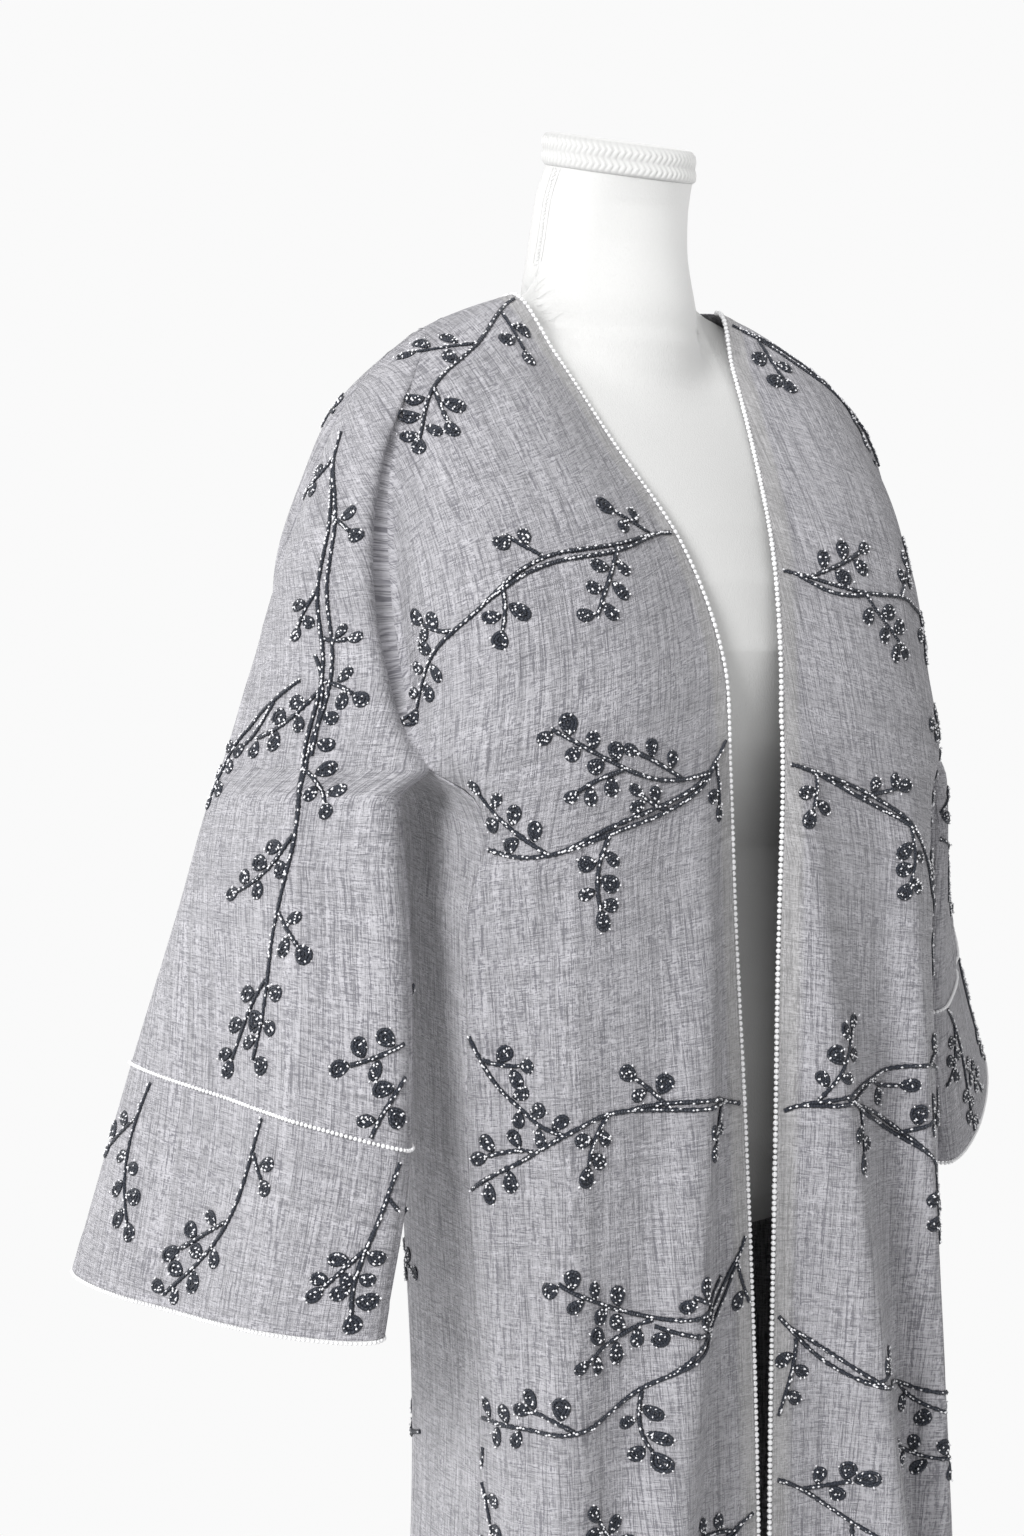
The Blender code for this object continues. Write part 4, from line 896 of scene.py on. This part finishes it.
# Tiny specks of light thread in the weave, painted near white as glints; there the cloth is also less
# rough.
specks_and_painted_glints = cloth.step(cloth.noise(cloth.stretched(flat, 2300.0, 2300.0, 1.0), 0.0), 0.80, 0.86)
cloth.show("Base Color", cloth.mix(heather, (0.95, 0.95, 1.0, 1.0), 0.8 * specks_and_painted_glints))
cloth.show("Roughness", 0.72 - 0.45 * specks_and_painted_glints)
cloth.relief(slub + 0.4 * threads, 0.00022)


def cloth_piece(name, keys, replaced):
    """One panel of the garment from its sheets, a thin shell that keeps its place on the cut."""
    faces = np.concatenate([sheets[key]["faces"] for key in keys])
    used, local = np.unique(weld[faces], return_inverse=True)
    made = piece(name, welded[used], local.reshape(-1, 4), cloth, [replaced],
                 cut_places[faces])
    facing = made.data.attributes.new("facing", "FLOAT", "POINT")
    facing.data.foreach_set("value", faced[used].astype(np.float32))
    shell = made.modifiers.new("thickness", "SOLIDIFY")
    shell.thickness = CLOTH
    shell.offset = -1.0


for side in ("right", "left"):
    cloth_piece("cloth_front_" + side, [("front", side, "body"), ("front", side, "sleeve")],
                "front_" + side)
    cloth_piece("cloth_band_" + side, [("front", side, "band"), ("back", side, "band")],
                "sleeve_band_" + side)
back_keys = [("back", side, part) for side in ("right", "left") for part in ("nape", "body", "sleeve")]
cloth_piece("cloth_back", back_keys, "back")


# The beads. One row of small silvery white beads is sewn along each front edge and the back of the
# neck, on the seam of each sleeve band and along each sleeve's hem.
BEAD = 0.0040
BEAD_STEP = 0.0042
SMALL = 0.78                # a bead of the sleeves over one of the front edges
BEAD_OUT = 0.0016           # a row's middle lies so far out from the cloth's edge
BEAD_IN = 0.0004            # and so far in from its outer face
SEWN_IN = 0.0003            # a bead on a seam sinks this far into the cloth
TUBE_BEAD = 1.7             # length of a drawn-out bead over its width


def ball(rings, around):
    """A round bead of radius 1 and its faces."""
    polar = np.linspace(0, math.pi, rings)[:, None]
    turn = np.linspace(0, 2 * math.pi, around, endpoint=False)
    return lofted(np.stack([-np.sin(polar) * np.cos(turn), np.sin(polar) * np.sin(turn),
                            np.cos(polar) + 0 * turn], -1))


def beads(name, centres, radius, finish, bead, replaced=(), along=None):
    """Copies of a bead at the given centres, joined into one piece, each a little larger or
    smaller. Where along gives a direction for each, they are short tubes, drawn out that way."""
    shape, faces = bead
    radius = np.broadcast_to(radius, len(centres)) * (1 + 0.05 * chance.standard_normal(len(centres)))
    points = centres[:, None] + radius[:, None, None] * shape[None]
    if along is not None:
        reach = (points - centres[:, None]) @ along[:, :, None]
        points = points + (TUBE_BEAD - 1) * reach * along[:, None]
    faces = faces[None] + (np.arange(len(centres)) * len(shape))[:, None, None]
    piece(name, points.reshape(-1, 3), faces.reshape(-1, 4), finish, replaced)


def even_places(path, step, closed=False):
    """Places at even steps along a path of points."""
    if closed:
        path = np.concatenate([path, path[:1]])
    length = np.concatenate([[0], np.linalg.norm(np.diff(path, axis=0), axis=1).cumsum()])
    count = int(length[-1] / step)
    at = (np.arange(count) + 0.5) * length[-1] / count
    return np.stack([np.interp(at, length, path[:, k]) for k in range(3)], 1)


chance = np.random.default_rng(11)
pearl = Finish("pearl_beads", 0.30, coat=0.4)
cloud = pearl.noise(pearl.place(), 1.0)
pearl.show("Base Color", pearl.tinted((0.92, 0.92, 0.93, 1.0), 0.96 + 0.08 * cloud))


def edge_path(sheet, row=None, column=None):
    """The line along one edge of a sheet, at a row or a column, moved to where its beads lie."""
    points, up = sheet["points"], sheet["outward"]
    if column is not None:
        line, beside, up = points[:, column], points[:, column + 3], up[:, column]
    else:
        line, beside, up = points[row], points[3 if row == 0 else -4], up[row]
    off = line - beside
    along = np.gradient(line, axis=0)
    along /= np.linalg.norm(along, axis=1, keepdims=True)
    off -= along * (off * along).sum(1, keepdims=True)
    off /= np.linalg.norm(off, axis=1, keepdims=True)
    return line + off * BEAD_OUT - up * BEAD_IN


round_bead = ball(5, 8)
for side in ("right", "left"):
    line = edge_path(sheets["front", side, "body"], column=0)
    beads("beads_edge_" + side, even_places(line, BEAD_STEP), BEAD / 2, pearl, round_bead,
          ["edge_trim_" + side])
    for where in ("band", "cuff"):
        halves = []
        for panel in ("front", "back"):
            band = sheets[panel, side, "band"]
            on_seam = band["points"][0] + band["outward"][0] * (SMALL * BEAD / 2 - SEWN_IN)
            halves.append(on_seam if where == "band" else edge_path(band, row=-1))
        ring = even_places(np.concatenate([halves[0], halves[1][-2:0:-1]]), SMALL * BEAD_STEP, True)
        beads("beads_" + where + "_" + side, ring, SMALL * BEAD / 2, pearl, round_bead,
              [where + "_trim_" + side])
neck = [edge_path(sheets["back", side, "nape"], row=0) for side in ("right", "left")]
line = np.concatenate([neck[0][:0:-1], neck[1]])[2:-2]
beads("beads_neck", even_places(line, BEAD_STEP), BEAD / 2, pearl, round_bead, ["neck_trim"])


# The embroidery. Leafy sprigs in dark navy thread run over the cloth, each a twisted stem with
# short side stems and round leaves. A leaf is three loops of thread, one inside the other. Small
# silver beads are sewn along the stems and on the leaves. Sprigs are cut off where a panel ends.
STEM_STEP = 0.0024
STEM_RADIUS = 0.0017
STEM_SWAY = 8.0             # degrees
FLATTENED = 0.62            # height of the thread over its width
FORK_EVERY = (0.040, 0.066)
FORK_REACH = (0.022, 0.064)
FORK_ANGLE = (34, 50)
STRAND_APART = (0.005, 0.009)
LONG_STEM = 0.20            # a main stem over this length has a second strand
LEAFY_END = 0.052           # a main stem bears leaves over this length of its end
LEAF_LENGTH = 0.0150
LEAF_WIDTH = 0.0112
LEAF_ANGLE = (56, 70)
LEAF_SIZE = (0.80, 1.14)
LEAF_BREADTH = (0.80, 1.20)
LEAF_LOOPS = ((12, 0.80, 0.0015), (8, 0.46, 0.0016), (4, 0.14, 0.0012))     # points, size, radius
LEAF_STALK = 0.0022
LEAF_EVERY = 0.0098
LEAF_CLEAR = 0.0104         # nearest that two leaves' middles may lie
STEM_CLEAR = 0.0058         # nearest that a stem may pass by a leaf's middle
PANEL_MARGIN = 0.0026       # nearest that a stem may come to a panel's edge
LEAF_MARGIN = 0.0085        # and a leaf's middle
STEM_LIFT = 0.45            # the thread's middle lies this far above the cloth, in radii
LEAF_LIFT = 0.40
STEM_SILVER = 0.48          # share of a stem's steps that have a silver bead
STEM_SILVER_SIZE = (0.00062, 0.00097)       # their radius
STEM_SCATTER = 0.0004
LEAF_SILVER = 0.85          # share of a leaf's places that have one
LEAF_SILVER_SIZE = (0.00052, 0.00097)
LEAF_SILVER_LIFT = 0.0016
LEAF_SCATTER = 0.0010


def sprigs(*rows):
    """A table of main stems, with u across and v down the panel in metres."""
    return table("u v heading length bend first", *rows)


# Each row of these tables is one main stem on the flat panel: where it starts, its heading in
# degrees (0 is away from the front edge, the centre of the back or the ridge, and 90 is down), its
# length, how far it turns over that length, and the side of its first side stem.
FRONT_SPRIGS = {
    "right": sprigs(
        (0.000, 0.012, 14, 0.190, 34, 1), (0.000, 0.206, -6, 0.300, 62, -1),
        (0.000, 0.352, 46, 0.290, -62, 1), (0.026, 0.378, 8, 0.135, -46, -1),
        (0.000, 0.626, -18, 0.265, 64, 1), (0.000, 0.716, 58, 0.300, -64, 1),
        (0.030, 0.745, 34, 0.150, -78, -1), (0.236, 0.560, 118, 0.110, 40, 1),
        (0.243, 0.862, 84, 0.110, 20, 1), (0.000, 0.925, 20, 0.230, -40, -1),
        (0.000, 1.060, -12, 0.270, 66, 1), (0.020, 1.100, 62, 0.200, -50, -1),
        (0.240, 1.080, 170, 0.120, -30, 1), (0.000, 1.270, 8, 0.250, 30, -1),
        (0.250, 1.370, 200, 0.150, 30, 1)),
    "left": sprigs(
        (0.000, 0.022, 6, 0.210, 36, 1), (0.000, 0.232, 4, 0.230, 14, -1),
        (0.000, 0.374, 12, 0.280, 60, 1), (0.236, 0.330, 150, 0.110, -50, 1),
        (0.000, 0.636, -26, 0.230, 52, -1), (0.040, 0.622, 22, 0.210, 40, 1),
        (0.000, 0.782, 44, 0.240, -48, 1), (0.236, 0.900, 160, 0.120, 40, -1),
        (0.000, 0.905, 16, 0.170, 50, -1), (0.000, 1.030, 50, 0.290, -64, 1),
        (0.000, 1.180, -8, 0.240, 56, -1), (0.240, 1.230, 190, 0.110, -40, 1),
        (0.000, 1.330, 6, 0.260, 24, 1)),
}
BACK_SPRIGS = sprigs(
    (-0.080, 0.006, 60, 0.270, 50, 1), (0.110, 0.030, 40, 0.160, -50, -1),
    (0.225, 0.180, 160, 0.290, -60, 1), (-0.215, 0.290, -10, 0.230, 60, -1),
    (0.060, 0.330, 30, 0.230, 44, 1), (-0.020, 0.410, 130, 0.270, 50, 1),
    (0.260, 0.560, 186, 0.270, -56, -1), (-0.255, 0.640, 8, 0.260, -54, 1),
    (0.000, 0.640, 50, 0.290, -50, -1), (-0.060, 0.770, 140, 0.240, 50, 1),
    (0.262, 0.880, 170, 0.250, 50, 1), (-0.020, 0.930, 60, 0.260, 40, -1),
    (-0.265, 0.980, 20, 0.270, -50, 1), (0.270, 1.150, 200, 0.290, -60, 1),
    (-0.180, 1.140, 50, 0.240, -70, -1), (0.020, 1.240, 20, 0.240, 50, 1),
    (-0.270, 1.350, -20, 0.280, 40, 1))
SLEEVE_SPRIGS = {
    "right": sprigs(
        (-0.028, 0.090, 112, 0.500, -16, -1), (-0.088, 0.305, 36, 0.120, 40, 1),
        (-0.090, 0.285, 128, 0.085, -30, 1), (-0.285, 0.500, 60, 0.120, 40, -1),
        (0.150, 0.130, 130, 0.220, -60, 1), (0.230, 0.300, 150, 0.230, -60, -1),
        (0.060, 0.420, 80, 0.180, -50, 1), (0.250, 0.500, 140, 0.120, 30, 1)),
    "left": sprigs(
        (-0.026, 0.090, 110, 0.270, 14, -1), (-0.060, 0.330, 80, 0.270, 30, 1),
        (-0.225, 0.440, 20, 0.140, 50, -1), (0.140, 0.140, 140, 0.230, -60, 1),
        (0.220, 0.300, 150, 0.230, -50, -1), (0.100, 0.430, 70, 0.170, -40, 1),
        (0.235, 0.520, 130, 0.110, 30, 1)),
}
BAND_SPRIGS = {
    "right": sprigs(
        (-0.176, 0.600, 98, 0.150, -50, 1), (-0.062, 0.604, 82, 0.100, 40, -1),
        (-0.285, 0.606, 80, 0.120, 30, 1), (0.000, 0.690, 20, 0.140, 50, -1),
        (0.150, 0.604, 60, 0.150, 50, 1), (0.290, 0.640, 150, 0.120, -40, -1)),
    "left": sprigs(
        (-0.210, 0.604, 70, 0.150, 40, 1), (-0.100, 0.606, 100, 0.130, -40, -1),
        (0.010, 0.612, 60, 0.130, 50, 1), (0.120, 0.600, 110, 0.130, -60, -1),
        (0.240, 0.640, 140, 0.120, -40, 1)),
}


def grown(start, heading, length, bend):
    """A stem on the flat cloth: at each even step it turns by its share of the bend and sways."""
    along = np.arange(0.0, length, STEM_STEP)
    sway = STEM_SWAY * np.sin(along / 0.021 + 40.0 * start[0])
    angle = np.radians(heading + bend * along / length + sway)
    return start + STEM_STEP * np.stack([np.cos(angle), np.sin(angle)], 1).cumsum(0), angle


def drawn(span, count=None):
    """A random value between two limits, or as many as count says."""
    return span[0] + (span[1] - span[0]) * chance.random(count)


def leafy(stem, angle, first, begin):
    """Leaves from begin to the end of a stem, on either side in turn, and one at its tip: each
    one's base on the flat cloth, its heading, its size and how broad it is."""
    at = np.arange(begin, len(stem) * STEM_STEP - 0.004, LEAF_EVERY)
    index = (at / STEM_STEP).astype(int)
    side = first * (-1.0) ** np.arange(len(at))
    heading = angle[index] + side * np.radians(drawn(LEAF_ANGLE, len(at)))
    stalk = LEAF_STALK * np.stack([np.cos(heading), np.sin(heading)], 1)
    base = np.concatenate([stem[index] + stalk, stem[-1:]])
    heading = np.append(heading, angle[-1])
    return np.column_stack([base, heading, drawn(LEAF_SIZE, len(base)), drawn(LEAF_BREADTH, len(base))])


def sprig(start, heading, length, bend, first):
    """All stems and leaves of one main stem: side stems fork off in turn on either side, a second
    strand parts from the main stem and joins it again, and leaves close its end."""
    main, angle = grown(start, heading, length, bend)
    stems, leaves = [main], [leafy(main, angle, first, max(length - LEAFY_END, 0.3 * length))]
    across = np.stack([-np.sin(angle), np.cos(angle)], 1)
    split = np.arange(int(0.06 * len(main)), int((0.30 + 0.40 * chance.random()) * len(main)))
    parted = drawn(STRAND_APART) * np.sin(math.pi * np.linspace(0, 1, len(split)))[:, None]
    if length > LONG_STEM:
        stems.append(main[split] - first * across[split] * parted)
    at, side = 0.024, first
    while at < length - 0.050:
        i = int(at / STEM_STEP)
        reach = FORK_REACH[0] + (FORK_REACH[1] - FORK_REACH[0]) * chance.random() ** 1.3
        turn = np.degrees(angle[i]) + side * drawn(FORK_ANGLE)
        stem, aim = grown(main[i], turn, reach, side * (-30 + 70 * chance.random()))
        stems.append(stem)
        leaves.append(leafy(stem, aim, side, 0.011))
        at += drawn(FORK_EVERY)
        side = -side
    return stems, np.concatenate(leaves)


def side_by_side(first, second, skip=0):
    """Two sheets that lie beside one another on the cut, as one: rows, and each point's place
    across, position and outward direction. The second's first columns may be skipped."""
    return {"rows": first["rows"], **{k: np.concatenate([first[k], second[k][:, skip:]], 1)
                                      for k in ("across", "points", "outward")}}


def with_sleeve(panel, side):
    """A panel's body and, above the underarm, its half sleeve. Below, the sleeve's columns are
    folded up on the side seam."""
    body, sleeve = sheets[panel, side, "body"], sheets[panel, side, "sleeve"]
    yoke, count = len(YOKE), sleeve["across"].shape[1]
    wide = np.repeat(body["across"][:, -1:], count, 1)
    wide[:yoke] += sleeve["across"][:yoke]
    made = {"rows": body["rows"], "across": np.concatenate([body["across"], wide[:, 1:]], 1)}
    for k in ("points", "outward"):
        beside = np.repeat(body[k][:, -1:], count, 1)
        beside[:yoke] = sleeve[k][:yoke]
        made[k] = np.concatenate([body[k], beside[:, 1:]], 1)
    return made


def mirrored(sheet, offset=0.0):
    """The same sheet read the other way across, with its places counted down from the offset."""
    return {"rows": sheet["rows"], "across": offset - sheet["across"][:, ::-1],
            "points": sheet["points"][:, ::-1], "outward": sheet["outward"][:, ::-1]}


def tube_chart(side, part):
    """Both halves of a sleeve or band, with places across counted from the ridge: the front's
    are below 0 and the back's above."""
    front, back = sheets["front", side, part], sheets["back", side, part]
    front = dict(front, across=front["across"] - front["across"][:, -1:])
    width = back["across"][:, -1:]
    return side_by_side(front, mirrored(back, width))


def looked_up(chart, flat):
    """Row and column of the chart's cell that holds each place on the flat cloth, with the
    fractions inside it, for the row above and the row below."""
    row = np.clip(np.searchsorted(chart["rows"], flat[:, 1], side="right") - 1, 0, len(chart["rows"]) - 2)
    part = (flat[:, 1] - chart["rows"][row]) / (chart["rows"][row + 1] - chart["rows"][row])
    found = []
    for r in (row, row + 1):
        wide = chart["across"][r]
        column = np.clip((wide <= flat[:, :1]).sum(1) - 1, 0, wide.shape[1] - 2)
        low, high = (np.take_along_axis(wide, c[:, None], 1)[:, 0] for c in (column, column + 1))
        found.append((r, column, np.clip((flat[:, 0] - low) / np.maximum(high - low, 1e-9), 0, 1)))
    return found, np.clip(part, 0, 1)


def laid(chart, flat, key):
    """The chart's points or outward directions at places on the flat cloth, between its four
    nearest."""
    found, part = looked_up(chart, flat)
    up, low = (chart[key][r, c] * (1 - f[:, None]) + chart[key][r, c + 1] * f[:, None] for r, c, f in found)
    return up * (1 - part[:, None]) + low * part[:, None]


def inside(chart, flat, margin):
    """Which places on the flat cloth lie on the chart, at least the margin from its edges."""
    row = np.clip(np.searchsorted(chart["rows"], flat[:, 1], side="right") - 1, 0, len(chart["rows"]) - 2)
    low = np.maximum(chart["across"][row, 0], chart["across"][row + 1, 0]) + margin
    high = np.minimum(chart["across"][row, -1], chart["across"][row + 1, -1]) - margin
    tall = (flat[:, 1] > chart["rows"][0] + margin) & (flat[:, 1] < chart["rows"][-1] - margin)
    return (flat[:, 0] > low) & (flat[:, 0] < high) & tall


def leaf_loop(count, scale):
    """A leaf's outline, 1 long from its base: half a width of sin t, wider towards the tip."""
    t = np.linspace(0, 2 * math.pi, count, endpoint=False) + 0.001
    wide = 0.5 * np.sin(t) * np.abs(np.sin(t / 2)) ** 0.6 * 1.12
    return np.stack([0.5 + ((1 - np.cos(t)) / 2 - 0.5) * scale, wide * scale * LEAF_WIDTH / LEAF_LENGTH], 1)


def on_leaf(leaves, shape):
    """A shape in leaf lengths, turned and sized onto every leaf of the flat cloth."""
    cos, sin = np.cos(leaves[:, 2])[:, None], np.sin(leaves[:, 2])[:, None]
    size = leaves[:, 3:4] * LEAF_LENGTH
    x, y = size * shape[:, 0], size * leaves[:, 4:] * shape[:, 1]
    return leaves[:, None, :2] + np.stack([x * cos - y * sin, x * sin + y * cos], -1)


def joined(*parts):
    """Several sets of points, faces and corner places as one set."""
    shift = np.cumsum([0] + [len(p) for p, _, _ in parts[:-1]])
    return (np.concatenate([p for p, _, _ in parts]),
            np.concatenate([f + s for (_, f, _), s in zip(parts, shift)]),
            np.concatenate([c for _, _, c in parts]))


glass = Finish("silver_beads", 0.16, coat=0.8)
cloud = glass.noise(glass.stretched(glass.place(), 420.0, 420.0, 420.0), 1.0)
glass.show("Base Color", glass.tinted((0.97, 0.97, 1.0, 1.0), 0.86 + 0.28 * cloud))
glass.show("Roughness", 0.10 + 0.22 * cloud)

thread = Finish("embroidery_thread", 0.42, sheen=0.1)
ply = thread.cut()
round_cord, along_cord = (thread.node("SeparateXYZ", {}, {0: ply}, i) for i in (0, 1))
twist = thread.node("Math", {"operation": "SINE"}, {0: along_cord * 2900.0 + round_cord * (2 * math.pi)})
thread_tone = thread.noise(thread.stretched(thread.place(), 900.0, 900.0, 900.0), 1.0)
thread.show("Base Color", thread.mix((0.008, 0.011, 0.020, 1.0), (0.035, 0.042, 0.062, 1.0),
                                     0.35 + 0.25 * twist + 0.8 * (thread_tone - 0.5)))
thread.relief(twist, 0.0003)


def leaf_middles(leaves):
    """The middle of each leaf on the flat cloth."""
    return on_leaf(leaves, np.array([[0.5, 0.0]]))[:, 0]


def runs_on(cloth_chart, stems):
    """The stretches of the stems that lie on a panel."""
    runs = []
    for stem in stems:
        on = inside(cloth_chart, stem, PANEL_MARGIN)
        edges = np.flatnonzero(np.diff(on)) + 1
        runs += [run for run, kept in zip(np.split(stem, edges), np.split(on, edges))
                 if kept[0] and len(run) > 3]
    return runs


def clear_leaves(middles, passed):
    """The leaves whose middles no point of a stem comes too near, nor a leaf before them."""
    kept = []
    for i, middle in enumerate(middles):
        clear = np.linalg.norm(passed - middle, axis=1).min() > STEM_CLEAR
        if clear and all(np.linalg.norm(middles[j] - middle) > LEAF_CLEAR for j in kept):
            kept.append(i)
    return kept


def embroider(name, cloth_chart, rows):
    """Stitches a panel's sprigs: thread as flattened cords, and silver beads."""
    stems, leaves = zip(*(sprig(row[:2], *row[2:]) for row in np.array(list(rows.values())).T))
    leaves = np.concatenate(leaves)
    leaves = leaves[inside(cloth_chart, leaf_middles(leaves), LEAF_MARGIN)]
    runs = runs_on(cloth_chart, [stem for group in stems for stem in group])
    leaves = leaves[clear_leaves(leaf_middles(leaves), np.concatenate(runs))]
    threads, silver = [], []
    for run in runs:
        up = laid(cloth_chart, run, "outward")
        line = laid(cloth_chart, run, "points") + up * STEM_RADIUS * STEM_LIFT
        swell = 1 + 0.14 * (-1.0) ** np.arange(len(run)) + 0.1 * chance.standard_normal(len(run))
        threads.append(cords([line], [up], STEM_RADIUS * swell, flat=FLATTENED))
        sewn = chance.random(len(line)) < STEM_SILVER
        dots = line[sewn] + up[sewn] * STEM_RADIUS * FLATTENED
        dots = dots + STEM_SCATTER * chance.standard_normal(dots.shape)
        silver.append((dots, drawn(STEM_SILVER_SIZE, len(dots)), np.gradient(line, axis=0)[sewn]))
    for count, scale, radius in LEAF_LOOPS:
        loops = on_leaf(leaves, leaf_loop(count, scale)).reshape(-1, 2)
        up = laid(cloth_chart, loops, "outward")
        line = laid(cloth_chart, loops, "points") + up * radius * LEAF_LIFT
        threads.append(cords(line.reshape(-1, count, 3), up.reshape(-1, count, 3), radius, True, FLATTENED))
    places = np.concatenate([leaf_loop(7, 0.84) + (0.02, 0.0), leaf_loop(3, 0.40)])
    spots = on_leaf(leaves, places).reshape(-1, 2)
    spots = spots + LEAF_SCATTER * chance.standard_normal(spots.shape)
    spots = spots[chance.random(len(spots)) < LEAF_SILVER]
    raised = laid(cloth_chart, spots, "points") + laid(cloth_chart, spots, "outward") * LEAF_SILVER_LIFT
    silver.append((raised, drawn(LEAF_SILVER_SIZE, len(spots)), chance.standard_normal((len(spots), 3))))
    centres, sizes, along = (np.concatenate(part) for part in zip(*silver))
    along /= np.linalg.norm(along, axis=1, keepdims=True)
    points, faces, ply_place = joined(*threads)
    piece("thread_" + name, points, faces, thread, cut=ply_place)
    beads("silver_" + name, centres, sizes, glass, small_bead, along=along)


small_bead = ball(3, 5)
for side in ("right", "left"):
    embroider("front_" + side, with_sleeve("front", side), FRONT_SPRIGS[side])
    embroider("sleeve_" + side, tube_chart(side, "sleeve"), SLEEVE_SPRIGS[side])
    embroider("band_" + side, tube_chart(side, "band"), BAND_SPRIGS[side])
right_back, left_back = (side_by_side(sheets["back", side, "nape"], with_sleeve("back", side), 1)
                         for side in ("right", "left"))
embroider("back", side_by_side(mirrored(left_back), right_back, 1), BACK_SPRIGS)
